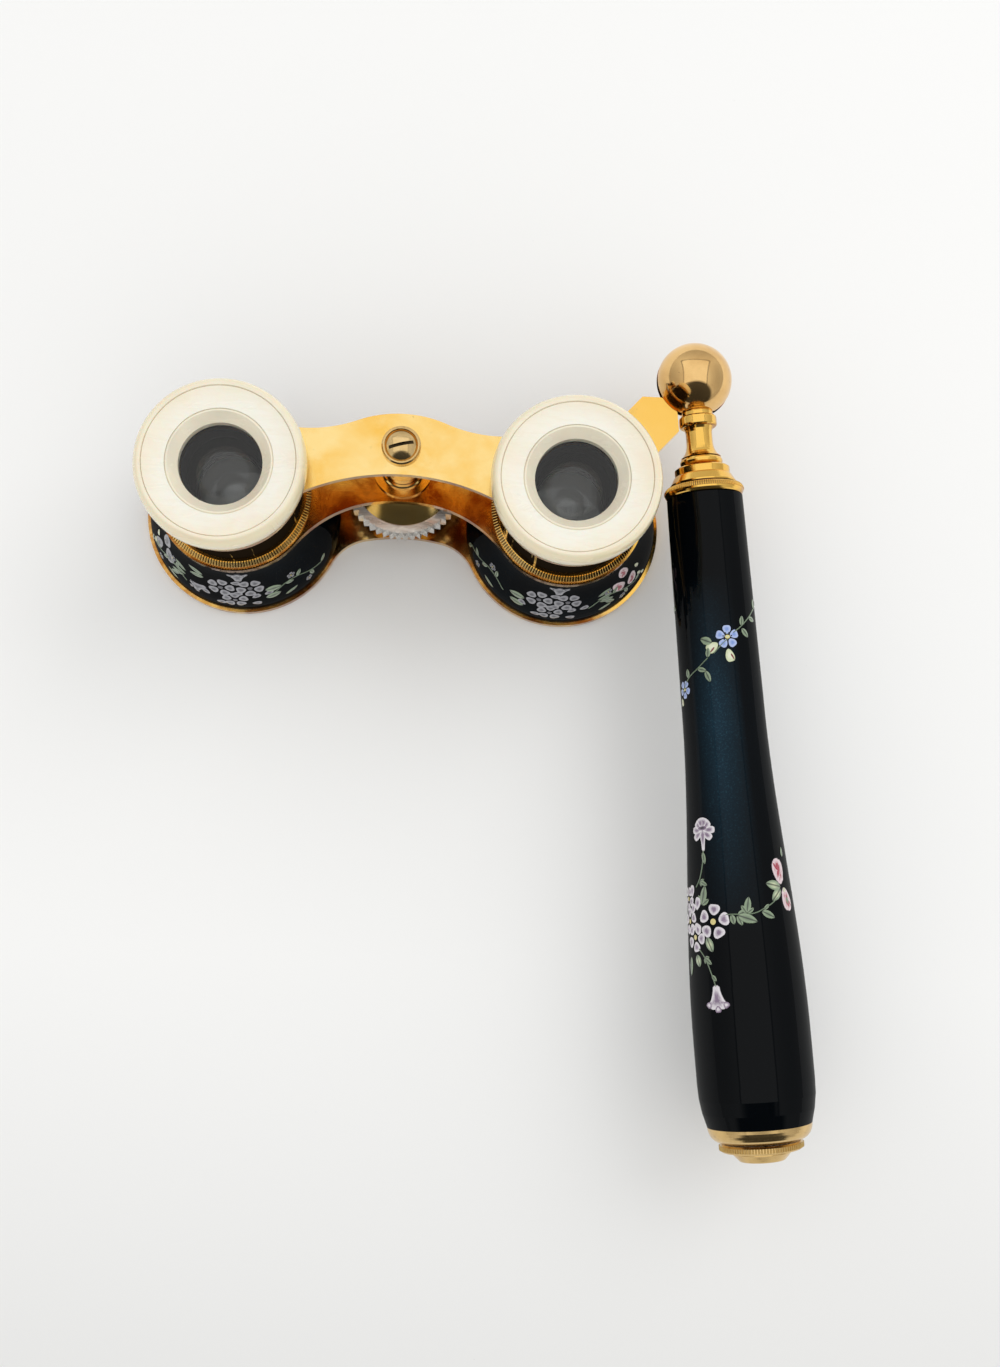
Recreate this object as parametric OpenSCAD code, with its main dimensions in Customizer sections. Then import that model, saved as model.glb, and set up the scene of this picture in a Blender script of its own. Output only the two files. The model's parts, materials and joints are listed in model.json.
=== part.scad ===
// Opera glasses with an enamelled, telescoping side handle.
// Galilean glasses standing on their objectives: +Z runs along the two optical
// axes towards the eyes, +X runs from the left barrel to the right one.
// The origin is on the underside of the lower bridge, midway between the axes.
// All lengths are in millimetres and all angles in degrees.

/* [Bridges] */
// Distance between the two optical axes
axis_gap = 61; // [60:0.5:66]
// Thickness of the lower bridge
lower_plate_t = 1.8; // [1.5:0.1:2.4]
// Thickness of the middle bridge and its handle arm
middle_plate_t = 2; // [1.9:0.1:2.6]
// Thickness of the upper bridge
upper_plate_t = 1.6; // [1.2:0.1:2.2]
// Height of the underside of the middle bridge
middle_plate_z = 18.3; // [18:0.1:21]
// Height of the underside of the upper bridge, at rest
upper_plate_z = 34.6; // [34.2:0.1:38]
// Radius of the lower bridge's ring round each barrel
lower_ring_r = 18.95; // [18.8:0.05:20.5]
// Radius of the middle bridge's ring round each barrel
middle_ring_r = 14.4; // [14.2:0.1:15.4]
// Radius of the upper bridge's ring round each draw tube
upper_ring_r = 13.7; // [13.2:0.1:14]
// Front edge of the lower bridge at the centre line
lower_front_y = -2.9; // [-4:0.1:-2.2]
// Radius of the middle stretch of the lower bridge's front edge
lower_front_r = 35; // [30:1:45]
// Radius that leads the lower bridge's front edge into its rings
lower_corner_r = 9; // [7:0.5:11]
// Front edge of the middle bridge at the centre line
middle_front_y = -0.1; // [-1.5:0.1:0.3]
// Radius of the middle stretch of the middle bridge's front edge
middle_front_r = 40; // [35:1:50]
// Radius that leads the middle bridge's front edge into its rings
middle_corner_r = 22; // [18:0.5:23]
// Front edge of the upper bridge at the centre line
upper_front_y = 1; // [0:0.1:1.4]
// Radius of the upper bridge's front edge
upper_front_r = 40; // [36:1:48]
// Back edge of all three bridges at the centre line
hump_y = 11.9; // [11.7:0.1:13]
// Back edge of all three bridges beside the barrels
back_y = 8.6; // [8:0.1:9.4]
// Radius of the hump round the focusing column
hump_r = 21; // [19:0.5:24]
// Radius of the hollows beside the hump
hollow_r = 25; // [22:0.5:28]

/* [Barrels] */
// Outer radius of the enamelled sleeve at its foot
sleeve_foot_r = 18.3; // [18.2:0.1:18.7]
// Outer radius of the enamelled sleeve at its top
sleeve_top_r = 13.8; // [13.7:0.1:14.1]
// Wall of the enamelled sleeve
enamel_t = 0.6; // [0.4:0.05:0.7]
// Length of the guide bore in which each draw tube slides
guide_h = 7.8; // [6:0.1:9]
// Outer radius of the milled collar ring on the middle bridge
collar_r = 13.9; // [13.6:0.1:14.2]
// Height of the milled collar ring
collar_h = 1.6; // [1.2:0.1:2.4]
// Width of the collar ring's milled bevel
collar_bevel = 0.9; // [0.5:0.1:1.1]

/* [Objectives] */
// Radius of the objective lens
objective_r = 15; // [14:0.1:15.1]
// Wall of the objective cell
cell_wall = 1.1; // [0.8:0.1:1.3]
// Width of the cell's flange outside the barrel bore
cell_flange_w = 1.1; // [0.8:0.1:1.3]
// Thickness of the cell's flange
cell_flange_t = 0.9; // [0.6:0.1:1.2]
// Height of the objective cell
cell_h = 6.4; // [5.9:0.1:7]
// Radius of the cell's mouth, which takes a push-in cap
mouth_r = 15.2; // [14.8:0.1:15.6]
// Depth of the cell's mouth
mouth_depth = 1.8; // [1.4:0.1:2.2]
// Width of the lip that the objective lens rests on
lip_w = 0.6; // [0.4:0.1:0.9]
// Thickness of the lip
lip_t = 0.7; // [0.5:0.1:1]
// Thickness of the objective lens at its rim
objective_rim = 1.8; // [1.5:0.1:2]
// Radius of curvature of the objective's outer face
objective_outer_curve = 160; // [150:5:250]
// Radius of curvature of the objective's inner face
objective_inner_curve = 75; // [70:1:120]
// Height of the ring that holds the objective lens
objective_ring_h = 1.3; // [1:0.1:1.4]
// Width of the ring that holds the objective lens
objective_ring_w = 1.2; // [0.8:0.1:1.5]

/* [Eyepieces] */
// Outer radius of the draw tubes
draw_r = 12.4; // [12:0.1:12.5]
// Wall of the draw tubes
draw_wall = 0.6; // [0.5:0.1:0.8]
// Length of each draw tube below the upper bridge
draw_drop = 19.4; // [17.5:0.1:19.6]
// Running clearance of the draw tubes in their guides
draw_gap = 0.05; // [0.02:0.01:0.1]
// Thickness of the eyepiece cell's flange
eye_flange_t = 1.2; // [0.8:0.1:1.6]
// Depth of the eyepiece cell's spigot in the draw tube
eye_spigot_h = 3; // [2:0.1:4]
// Wall of the spigot
eye_spigot_wall = 1; // [0.6:0.1:1.4]
// Height of the boss that carries the eyecup
boss_h = 3; // [2.9:0.1:3.4]
// Wall of the boss round the eye lens
boss_wall = 1.05; // [0.8:0.05:1.4]
// Radius of the eye lens
eye_lens_r = 8.2; // [8:0.1:8.4]
// Thickness of the eye lens at its rim
eye_lens_rim = 2.6; // [2.3:0.1:2.6]
// Radius of curvature of both faces of the eye lens
eye_lens_curve = 30; // [28:1:50]
// Width of the lip that the eye lens rests on
eye_lip_w = 0.8; // [0.6:0.1:1]
// How far the eye lens sits below the top of the flange
eye_lens_sink = 0.4; // [0.1:0.1:0.6]
// Width of the ring that holds the eye lens
eye_ring_w = 0.9; // [0.7:0.1:1]

/* [Eyecups] */
// Radius of the eyecup where it stands on its flange
cup_foot_r = 13.4; // [12.8:0.1:13.6]
// Greatest radius of the eyecup
cup_r = 14.8; // [14.2:0.1:15.5]
// Height of the eyecup
cup_h = 7.4; // [6.8:0.1:8]
// Height of the eyecup's widest place above its foot
cup_widest = 4.5; // [3.5:0.1:5]
// Radius of the crest of the eyecup's rolled rim
cup_face_r = 13.6; // [13.4:0.1:14]
// Radius of the fine groove inside the rolled rim
cup_groove_r = 13.1; // [12.7:0.1:13.2]
// Depth of that groove
cup_groove_depth = 0.45; // [0.35:0.05:0.6]
// How far the face is dished
cup_dish = 0.8; // [0.7:0.1:1]
// Radius of the eyepiece opening
opening_r = 7.2; // [6.8:0.1:7.4]
// Radius of the insert's cone at its mouth
insert_mouth_r = 8.8; // [8.4:0.1:9]
// Depth of the insert's cone
insert_cone_h = 1.9; // [1.4:0.1:2.4]

/* [Focusing column] */
// Distance of the column's axis behind the line of the optical axes
column_y = 6; // [5.8:0.1:6.2]
// Radius of the focusing spindle
spindle_r = 3.4; // [3:0.1:3.6]
// Length of the spindle below the upper bridge
spindle_drop = 24; // [21:0.1:24.4]
// Radius of the spindle's spigot in the upper bridge
spindle_spigot_r = 2.4; // [2.1:0.1:2.6]
// Running clearance of the column's shafts and of the handle's pin
bore_gap = 0.05; // [0.02:0.01:0.1]
// End play of the focus wheel between the two bridges
end_play = 0.2; // [0.1:0.05:0.4]
// Radius of the wheel's hub
hub_r = 5; // [4.7:0.1:5.4]
// Radius of the journal at the hub's foot
journal_r = 4; // [3.9:0.05:4.2]
// Radius of the flange of the foot bush
foot_r = 5.6; // [5.3:0.1:5.7]
// Height of the foot bush above the lower bridge
foot_h = 2.6; // [2:0.1:3]
// Radius of the foot bush where it passes through the lower bridge
foot_spigot_r = 5; // [4.8:0.1:5.2]
// Thickness of the foot bush's floor
foot_floor_t = 0.8; // [0.5:0.1:0.9]
// Radius of the column collar's flange
column_collar_r = 5.5; // [5.2:0.1:5.7]
// Radius of the column collar's upper step
column_step_r = 4.1; // [3.9:0.1:4.9]
// Radius of the column collar where it passes through the middle bridge
column_shank_r = 4.6; // [4.3:0.1:4.8]
// Height of the column collar's flange
column_collar_h = 0.9; // [0.6:0.1:1.2]
// Height of the column collar's upper step
column_step_h = 1; // [0.6:0.1:1.4]
// Radius of the rim of the cup washer on the spindle
washer_r = 3.45; // [3.3:0.05:3.8]
// Height of the cup washer
washer_h = 1.1; // [0.9:0.1:1.3]
// Floor of the cup washer
washer_floor_t = 0.3; // [0.2:0.05:0.4]
// Width of the rim of the cup washer
washer_rim_w = 0.5; // [0.4:0.05:0.7]
// Height of the spindle screw's domed head
screw_head_h = 1.5; // [1.2:0.1:1.7]
// Radius of the spindle screw's shank
screw_r = 1.3; // [1.1:0.1:1.5]
// Length of the spindle screw's shank
screw_len = 5.2; // [4:0.1:7]
// Width of the screw slot
slot_w = 0.6; // [0.4:0.1:0.8]
// Depth of the screw slot
slot_depth = 0.6; // [0.4:0.1:0.7]
// Angle of the screw slot
slot_angle = 15; // [0:5:90]

/* [Focus wheel] */
// Outer radius of the wheel over its teeth
wheel_r = 11.3; // [10.8:0.1:12]
// Height of the underside of the wheel's rim
wheel_z = 9; // [8:0.1:9.6]
// Thickness of the wheel's rim
wheel_t = 5; // [4:0.1:5.2]
// Number of teeth milled in the rim
teeth = 50; // [40:1:60]
// Depth of the teeth
tooth_depth = 0.9; // [0.5:0.1:1.1]
// Bevel on the wheel's edges
wheel_bevel = 0.6; // [0.3:0.1:1]
// Radius of the domed caps on the wheel's faces
cap_r = 9.3; // [8.6:0.1:9.6]
// Height of the upper cap
cap_top_h = 3.4; // [2.6:0.1:3.6]
// Height of the lower cap
cap_low_h = 1.8; // [1.2:0.1:2.6]
// Height of the caps' straight edge
cap_edge_h = 0.6; // [0.3:0.1:0.9]

/* [Handle hinge] */
// Direction of the arm from the right-hand optical axis
arm_angle = 48; // [44:1:52]
// Distance from that axis to the centre of the ball
arm_len = 34.5; // [34:0.1:37]
// Width of the arm
arm_w = 9.4; // [8.6:0.1:10]
// Angle between the arm and the handle at each end of its swing
stop_angle = 48.2; // [46:0.1:54]
// Gap between the arm's shoulders and the handle's collar at the stops
stop_gap = 0.3; // [0.15:0.05:0.5]
// Radius of the ball
ball_r = 7; // [6.8:0.1:7.3]
// Gap between the ball and the full thickness of the arm
ball_gap = 0.25; // [0.2:0.05:0.5]
// Radius of the eye at the end of the arm
eye_r = 4.9; // [4.4:0.1:4.95]
// Thickness of the eye and its tongue
eye_t = 1.4; // [1.2:0.05:1.6]
// Width of the tongue between the eye and the arm
tongue_w = 3.7; // [3:0.1:3.8]
// Clearance of the eye in the ball's slot, on each face
slot_gap = 0.15; // [0.1:0.05:0.25]
// Distance from the ball's centre to the web that joins its halves
web_s = 5.2; // [5.15:0.05:5.3]
// Radius of that web
web_r = 2.3; // [2.1:0.1:2.5]
// Distance from the ball's centre to the neck's seat
seat_s = 6.2; // [6.1:0.05:6.4]
// Radius of the hinge pin
pin_r = 1.5; // [1.2:0.1:1.7]
// How far the hinge pin reaches above the ball's centre
pin_top = 4.5; // [3.5:0.1:5]

/* [Handle neck] */
// Radius of the stem between the ball and the collar
stem_r = 2.9; // [2.6:0.1:3]
// Length of that stem
stem_len = 0.8; // [0.5:0.1:1]
// Radius of the collar next to the ball
bead_r = 3.5; // [3.3:0.05:3.6]
// Length of that collar
bead_len = 2.1; // [1.8:0.1:2.4]
// Radius of the neck at its narrowest
waist_r = 2.45; // [2.2:0.05:2.7]
// Length of the hollow neck
waist_len = 5.8; // [5.4:0.1:6.2]
// Radius of the small bead below the neck
small_bead_r = 3.95; // [3.7:0.05:4.2]
// Length of the small bead
small_bead_len = 1.7; // [1.4:0.1:2]
// Radius of the neck's foot
neck_foot_r = 5.1; // [5:0.05:5.3]
// Length of the neck's foot
neck_foot_len = 1.7; // [1.5:0.1:2]
// Length of the shoulder cone
shoulder_len = 1.8; // [1.3:0.1:2.2]
// Radius of the shoulder cone at its foot
shoulder_r = 6.1; // [5.8:0.1:6.4]
// Radius of the neck's spigot in the ball
neck_spigot_r = 1.5; // [1.2:0.1:1.6]
// Depth of the spigot and of the inner tube's socket
socket_depth = 1.5; // [1.2:0.1:1.6]

/* [Grip] */
// Running clearance between the shoulder and the ferrule, and at the knob
turn_gap = 0.3; // [0.2:0.05:0.5]
// Radius of the milled ferrule at the top of the grip
ferrule_r = 7.3; // [7.1:0.05:7.6]
// Length of the milled ferrule
ferrule_len = 2.2; // [1.8:0.1:2.6]
// Length of the ferrule's spigot in the grip
ferrule_spigot_len = 5; // [4:0.5:8]
// Length of the enamelled grip
grip_len = 113.6; // [112:0.2:122]
// Radius of the grip at its top
grip_top_r = 7; // [6.8:0.05:7.05]
// Radius of the grip at its waist
grip_waist_r = 7.5; // [7.2:0.05:7.9]
// Distance from the top of the grip to its waist
grip_waist_at = 38; // [32:1:42]
// Length of the swell below the waist
grip_swell_len = 60; // [50:1:64]
// Radius of the grip at its belly
grip_belly_r = 10.45; // [9.8:0.05:11]
// Radius of the grip at its end
grip_end_r = 9.3; // [9:0.05:9.6]
// Length over which the grip rounds off to its end
grip_round_len = 7; // [5:0.5:9]
// Wall of the enamelled grip
grip_wall = 0.7; // [0.6:0.05:0.8]
// Radius of the liner tube in the grip
liner_r = 5.6; // [5.4:0.05:5.7]
// Wall of the liner tube
liner_wall = 0.4; // [0.3:0.05:0.5]

/* [Telescoping tube and lock] */
// Radius of the inner tube
inner_tube_r = 4.2; // [4:0.05:4.3]
// Wall of the inner tube
inner_tube_wall = 0.4; // [0.3:0.05:0.6]
// Length of the inner tube below the neck's foot
inner_tube_len = 99.5; // [92:0.5:104]
// Length of the bush at the inner tube's end
tube_foot_len = 6.5; // [5:0.5:8]
// Thickness of that bush's end wall
tube_foot_wall = 1.5; // [1:0.1:2]
// Radius of the lock rod
rod_r = 1; // [0.8:0.1:1.3]
// Distance from the top of the grip to the end of the lock rod
rod_top_at = 16; // [12:1:22]
// Length of the expanding bush on the lock rod
expander_len = 12; // [8:1:14]

/* [Bottom cap and knob] */
// Length of the bottom cap
end_cap_len = 2.7; // [2.2:0.1:3.4]
// Radius of the bottom cap where the knob runs on it
end_cap_small_r = 7.1; // [6.8:0.1:7.4]
// Length of the bottom cap's spigot in the grip
end_spigot_len = 3; // [2:0.5:4]
// Wall of the bottom cap's spigot
end_spigot_wall = 1; // [0.7:0.1:1.4]
// How far the liner enters the bottom cap
liner_sink = 0.8; // [0.5:0.1:1.2]
// Radius of the milled ring of the knob
knob_r = 7.35; // [7:0.05:7.8]
// Length of the milled ring of the knob
knob_len = 1.4; // [1.2:0.1:2.2]
// Radius of the knob's button at its foot
button_r = 5.3; // [4.6:0.1:5.8]
// Radius of the knob's button at its end
button_end_r = 4.1; // [3.4:0.1:4.4]
// Length of the knob's button
button_len = 1.8; // [1.4:0.1:2.6]

/* [Hidden] */
$fn = 96;

// Colours
gilt = "#E0A93C";
antique = "#B98A35";
enamel = "#0E1B2C";
pearl = "#F1EBDC";
pearl_grey = "#CFCBC0";
crystal = "#9FB4BC";
steel = "#A8A8A8";

// Sides of the glasses, as signs of X
left = -1;
right = 1;
barrel_x = axis_gap / 2;

// Surplus of a cutting solid past the face that it cuts
over = 1;
// Least bevel left on small turned edges
edge = 0.25;
// Bevel on the edges of the knob's milled ring
ring_bevel = 0.3;
// Half-width of the eyecup's groove
groove_half = 0.1;
// Rounding of the collar next to the ball
bead_round = 0.5;
// How far the neck spreads to meet the collar above it
waist_fillet = 0.35;
// Steps of a ring in a bridge's outline, and its least edge
ring_steps = 72;
least_edge = 0.001;
// Facets of a lens face
lens_fn = 360;

// Heights of the bridges
lower_top = lower_plate_t;
middle_top = middle_plate_z + middle_plate_t;
upper_top = upper_plate_z + upper_plate_t;
middle_z = middle_plate_z + middle_plate_t / 2;

// Barrels and objectives
cell_r = objective_r + cell_wall;
cell_flange_r = cell_r + cell_flange_w;
neck_r = sleeve_top_r - enamel_t;
guide_r = draw_r + draw_gap;
guide_z = middle_top - guide_h;
objective_z = mouth_depth + lip_t;
lip_r = objective_r - lip_w;
objective_ring_z = objective_z + objective_rim;
objective_ring_r = objective_r - objective_ring_w;

// Eyepieces
draw_bore_r = draw_r - draw_wall;
flange_top = upper_top + eye_flange_t;
boss_r = eye_lens_r + boss_wall;
boss_top = flange_top + boss_h;
eye_lens_z = flange_top - eye_lens_sink;
eye_ring_z = eye_lens_z + eye_lens_rim;
eye_lip_r = eye_lens_r - eye_lip_w;
eye_ring_r = eye_lens_r - eye_ring_w;
cup_top = flange_top + cup_h;
cup_mouth_z = cup_top - cup_dish;

// Focusing column
spindle_bore_r = spindle_r + bore_gap;
spindle_foot = upper_plate_z - spindle_drop;
foot_top = lower_top + foot_h;
hub_foot = foot_top + end_play;
hub_top = middle_plate_z - end_play;
wheel_top = wheel_z + wheel_t;
washer_bore_r = washer_r - washer_rim_w;
washer_side_gap = 0.05;
head_r = washer_bore_r - washer_side_gap;
head_z = upper_top + washer_floor_t;
// Radius of the sphere that domes a head of this radius and height
function dome_curve(r, h) = (r * r + h * h) / (2 * h);
// Height of the straight side of the screw's head
head_side_h = 0.4;

// Handle: s is the distance from the ball's centre along the handle
ball = [barrel_x + arm_len * cos(arm_angle), arm_len * sin(arm_angle), middle_z];
handle_angle = arm_angle + 180 + stop_angle;
stop_r = bead_r + stop_gap;
eye_bore_r = pin_r + bore_gap;
slot_h = eye_t + 2 * slot_gap;
pin_recess = 0.2;
stem_s = seat_s + stem_len;
bead_s = stem_s + bead_len;
waist_s = bead_s + waist_len;
small_bead_s = waist_s + small_bead_len;
neck_foot_s = small_bead_s + neck_foot_len;
shoulder_s = neck_foot_s + shoulder_len;
ferrule_s = shoulder_s + turn_gap;
grip_s = ferrule_s + ferrule_len;
grip_end_s = grip_s + grip_len;
end_cap_s = grip_end_s + end_cap_len;
knob_s = end_cap_s + turn_gap;
button_s = knob_s + knob_len;
inner_tube_top = neck_foot_s - socket_depth;
inner_tube_end = neck_foot_s + inner_tube_len;
inner_bore_r = inner_tube_r - inner_tube_wall;
liner_bore_r = liner_r - liner_wall;
rod_top = grip_s + rod_top_at;

// Distance from the ball's centre, along the arm, at which the shoulder that
// faces the handle at its stop has half-width v
function shoulder_at(v) = (stop_r + v * cos(stop_angle)) / sin(stop_angle);

// Eased step from 0 to 1
function ease(t) = let (c = max(0, min(1, t))) c * c * (3 - 2 * c);

// Outer radius of the barrel sleeve at height z
function sleeve_r(z) =
    sleeve_foot_r + (sleeve_top_r - sleeve_foot_r) * ease((z - lower_top) / (middle_plate_z - lower_top));

// Outer radius of the grip at distance t from its top
function grip_r(t) =
    grip_top_r + (grip_waist_r - grip_top_r) * min(1, t / grip_waist_at)
    + (grip_belly_r - grip_waist_r) * ease((t - grip_waist_at) / grip_swell_len)
    - (grip_belly_r - grip_end_r) * pow(max(0, (t - grip_len + grip_round_len) / grip_round_len), 2);

// Points on an arc, and lists of points mirrored, reversed or rid of repeats
function arc(c, r, from, to, steps = 16) =
    [for (i = [0:steps]) c + r * [cos(from + (to - from) * i / steps), sin(from + (to - from) * i / steps)]];
function mirrored(points) = [for (p = points) [-p.x, p.y]];
function reversed(points) = [for (i = [len(points) - 1:-1:0]) points[i]];
function spaced(points) =
    [for (i = [0:len(points) - 1]) if (norm(points[(i + 1) % len(points)] - points[i]) > least_edge) points[i]];
function direction(from, to) = atan2(to.y - from.y, to.x - from.x);

// Where two circles meet, on the side of the centre line nearer the middle
function meet(a, ra, b, rb) =
    let (d = norm(b - a), e = (b - a) / d, along = (ra * ra - rb * rb + d * d) / (2 * d),
         across = sqrt(ra * ra - along * along))
    a + along * e + across * [-e.y, e.x];

// Right half of a front edge: a long arc at the middle, then a tighter arc that
// runs into the ring round the right-hand barrel
function front_edge(y, mid_r, corner_r, ring_r) =
    let (m = [0, y - mid_r], b = [barrel_x, 0],
         c = meet(m, mid_r - corner_r, b, corner_r + ring_r),
         turn = direction(m, c), run = direction(c, b))
    concat(arc(m, mid_r, 90, turn), arc(c, corner_r, turn, run));

// Centre of the hollow beside the hump
hollow_rise = back_y + hollow_r - hump_y + hump_r;
hollow = [sqrt(pow(hump_r + hollow_r, 2) - hollow_rise * hollow_rise), back_y + hollow_r];

// Where the back edge meets a ring: on its straight stretch, or in the hollow
function back_end(ring_r) =
    let (b = [barrel_x, 0], line_x = barrel_x - sqrt(ring_r * ring_r - back_y * back_y))
    line_x > hollow.x ? [line_x, back_y] : meet(b, ring_r, hollow, hollow_r);

// Right half of the back edge: the hump, then the hollow beside it
function back_edge(ring_r) =
    let (m = [0, hump_y - hump_r], turn = direction(m, hollow), end = back_end(ring_r),
         last = end.y > back_y ? direction(hollow, end) + 360 : 270)
    concat(arc(m, hump_r, 90, turn), arc(hollow, hollow_r, turn + 180, last));

// Outline of a bridge from the right half of its front edge
function bridge_points(front, ring_r) =
    let (b = [barrel_x, 0], last = front[len(front) - 1],
         ring = arc(b, ring_r, direction(b, last), direction(b, back_end(ring_r)), ring_steps),
         half = concat(front, ring, reversed(back_edge(ring_r))))
    spaced(concat(half, reversed(mirrored(half))));

// ---- Helpers ----

module on_axis(side) {
    translate([side * barrel_x, 0, 0]) children();
}

module on_column() {
    translate([0, column_y, 0]) children();
}

module at_hinge() {
    translate(ball) rotate([0, 0, handle_angle]) children();
}

// Stands a turned piece along the handle, with s along its axis
module along_handle() {
    at_hinge() rotate([0, 90, 0]) children();
}

module turned(points) {
    rotate_extrude() polygon(points);
}

// Ring from z0 to z1 with bevelled outer edges
module bevelled_ring(bore, r, z0, z1, bevel) {
    turned([[bore, z0], [r - bevel, z0], [r, z0 + bevel], [r, z1 - bevel], [r - bevel, z1], [bore, z1]]);
}

module bores(r) {
    for (side = [left, right])
        translate([side * barrel_x, 0]) circle(r = r);
}

// ---- Frame ----

module lower_bridge() {
    color(gilt) linear_extrude(lower_plate_t) difference() {
        polygon(bridge_points(front_edge(lower_front_y, lower_front_r, lower_corner_r, lower_ring_r), lower_ring_r));
        bores(cell_flange_r);
        translate([0, column_y]) circle(r = foot_spigot_r);
    }
}

// Outline of the handle arm, from its eye towards the barrel
module arm_outline() {
    half = arm_w / 2;
    neck = tongue_w / 2;
    rotate(arm_angle) polygon([
        [0, -half], [arm_len - shoulder_at(half), -half], [arm_len - shoulder_at(neck), -neck],
        [arm_len, -neck], [arm_len, neck], [arm_len - shoulder_at(neck), neck],
        [arm_len - shoulder_at(half), half], [0, half]]);
}

module middle_bridge() {
    color(gilt) {
        translate([0, 0, middle_plate_z]) linear_extrude(middle_plate_t) difference() {
            union() {
                polygon(bridge_points(
                    front_edge(middle_front_y, middle_front_r, middle_corner_r, middle_ring_r), middle_ring_r));
                translate([barrel_x, 0]) arm_outline();
            }
            bores(neck_r);
            translate([0, column_y]) circle(r = column_shank_r);
            translate([ball.x, ball.y]) circle(r = ball_r + ball_gap);
        }
        translate([0, 0, middle_z - eye_t / 2]) linear_extrude(eye_t) difference() {
            union() {
                translate([barrel_x, 0]) arm_outline();
                translate([ball.x, ball.y]) circle(r = eye_r);
            }
            translate([barrel_x, 0]) circle(r = (neck_r + arm_len) / 2);
            translate([ball.x, ball.y]) circle(r = eye_bore_r);
        }
    }
}

// Profile of the barrel where the sleeve lies on it
function barrel_side(steps = 14) =
    [for (i = [0:steps]) let (z = lower_top + (middle_plate_z - lower_top) * i / steps)
        [sleeve_r(z) - enamel_t, z]];

module barrel_tube(side) {
    color(gilt) on_axis(side) turned(concat(
        [[cell_r, cell_flange_t], [cell_flange_r, cell_flange_t], [cell_flange_r, lower_top]],
        barrel_side(),
        [[neck_r, middle_top], [guide_r, middle_top], [guide_r, guide_z], [cell_r, cell_h]]));
}

module enamel_sleeve(side) {
    inside = barrel_side();
    outside = [for (p = inside) p + [enamel_t, 0]];
    color(enamel) on_axis(side) turned(concat(inside, reversed(outside)));
}

module collar_ring(side) {
    top = middle_top + collar_h;
    color(gilt) on_axis(side) turned([
        [guide_r, middle_top], [collar_r, middle_top], [collar_r, top - collar_bevel],
        [collar_r - collar_bevel, top], [guide_r, top]]);
}

// ---- Objectives ----

module objective_cell(side) {
    color(gilt) on_axis(side) turned([
        [mouth_r, 0], [cell_flange_r, 0], [cell_flange_r, cell_flange_t], [cell_r, cell_flange_t],
        [cell_r, cell_h], [objective_r, cell_h], [objective_r, objective_z], [lip_r, objective_z],
        [lip_r, mouth_depth], [mouth_r, mouth_depth]]);
}

// Both faces bulge: the outer one rests on the lip, the inner one meets the ring
module objective_lens(side) {
    outer_rise = sqrt(pow(objective_outer_curve, 2) - lip_r * lip_r);
    inner_rise = sqrt(pow(objective_inner_curve, 2) - objective_ring_r * objective_ring_r);
    color(crystal) on_axis(side) intersection() {
        cylinder(r = objective_r, h = objective_ring_z + over);
        translate([0, 0, objective_z + outer_rise]) sphere(r = objective_outer_curve, $fn = lens_fn);
        translate([0, 0, objective_ring_z - inner_rise]) sphere(r = objective_inner_curve, $fn = lens_fn);
    }
}

module objective_ring(side) {
    color(steel) on_axis(side) translate([0, 0, objective_ring_z]) difference() {
        cylinder(r = objective_r, h = objective_ring_h);
        translate([0, 0, -over]) cylinder(r = objective_ring_r, h = objective_ring_h + 2 * over);
    }
}

// ---- Focusing column ----

module column_collar() {
    color(gilt) on_column() turned([
        [spindle_bore_r, middle_plate_z], [column_shank_r, middle_plate_z], [column_shank_r, middle_top],
        [column_collar_r, middle_top], [column_collar_r, middle_top + column_collar_h],
        [column_step_r, middle_top + column_collar_h],
        [column_step_r, middle_top + column_collar_h + column_step_h - edge],
        [column_step_r - edge, middle_top + column_collar_h + column_step_h],
        [spindle_bore_r, middle_top + column_collar_h + column_step_h]]);
}

module column_foot() {
    journal_bore_r = journal_r + bore_gap;
    color(gilt) on_column() turned([
        [0, 0], [foot_spigot_r, 0], [foot_spigot_r, lower_top], [foot_r, lower_top],
        [foot_r, foot_top - edge], [foot_r - edge, foot_top], [journal_bore_r, foot_top],
        [journal_bore_r, foot_floor_t], [0, foot_floor_t]]);
}

module wheel_hub() {
    color(gilt) on_column() turned([
        [spindle_bore_r, foot_floor_t + end_play], [journal_r, foot_floor_t + end_play],
        [journal_r, hub_foot], [hub_r, hub_foot], [hub_r, hub_top], [spindle_bore_r, hub_top]]);
}

// Rim with V-shaped teeth all round and bevelled edges
module wheel_rim() {
    root_r = wheel_r - tooth_depth;
    pitch = 360 / teeth;
    color(pearl) on_column() intersection() {
        translate([0, 0, wheel_z]) linear_extrude(wheel_t) difference() {
            polygon([for (i = [0:teeth - 1]) for (j = [0, 1])
                (j == 0 ? wheel_r : root_r) * [cos((i + j / 2) * pitch), sin((i + j / 2) * pitch)]]);
            circle(r = hub_r);
        }
        bevelled_ring(hub_r - over, wheel_r + over, wheel_z, wheel_top, wheel_bevel + over);
    }
}

// Profile of a domed cap that stands on z = 0
function cap_side(h, steps = 10) =
    concat([[hub_r, 0], [cap_r, 0], [cap_r, cap_edge_h]],
           [for (i = [1:steps]) let (t = i / steps)
               [cap_r - (cap_r - hub_r) * t, cap_edge_h + (h - cap_edge_h) * sin(90 * t)]]);

module wheel_cap_top() {
    color(gilt) on_column() translate([0, 0, wheel_top]) turned(cap_side(cap_top_h));
}

module wheel_cap_low() {
    color(gilt) on_column() translate([0, 0, wheel_z]) mirror([0, 0, 1]) turned(cap_side(cap_low_h));
}

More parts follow.
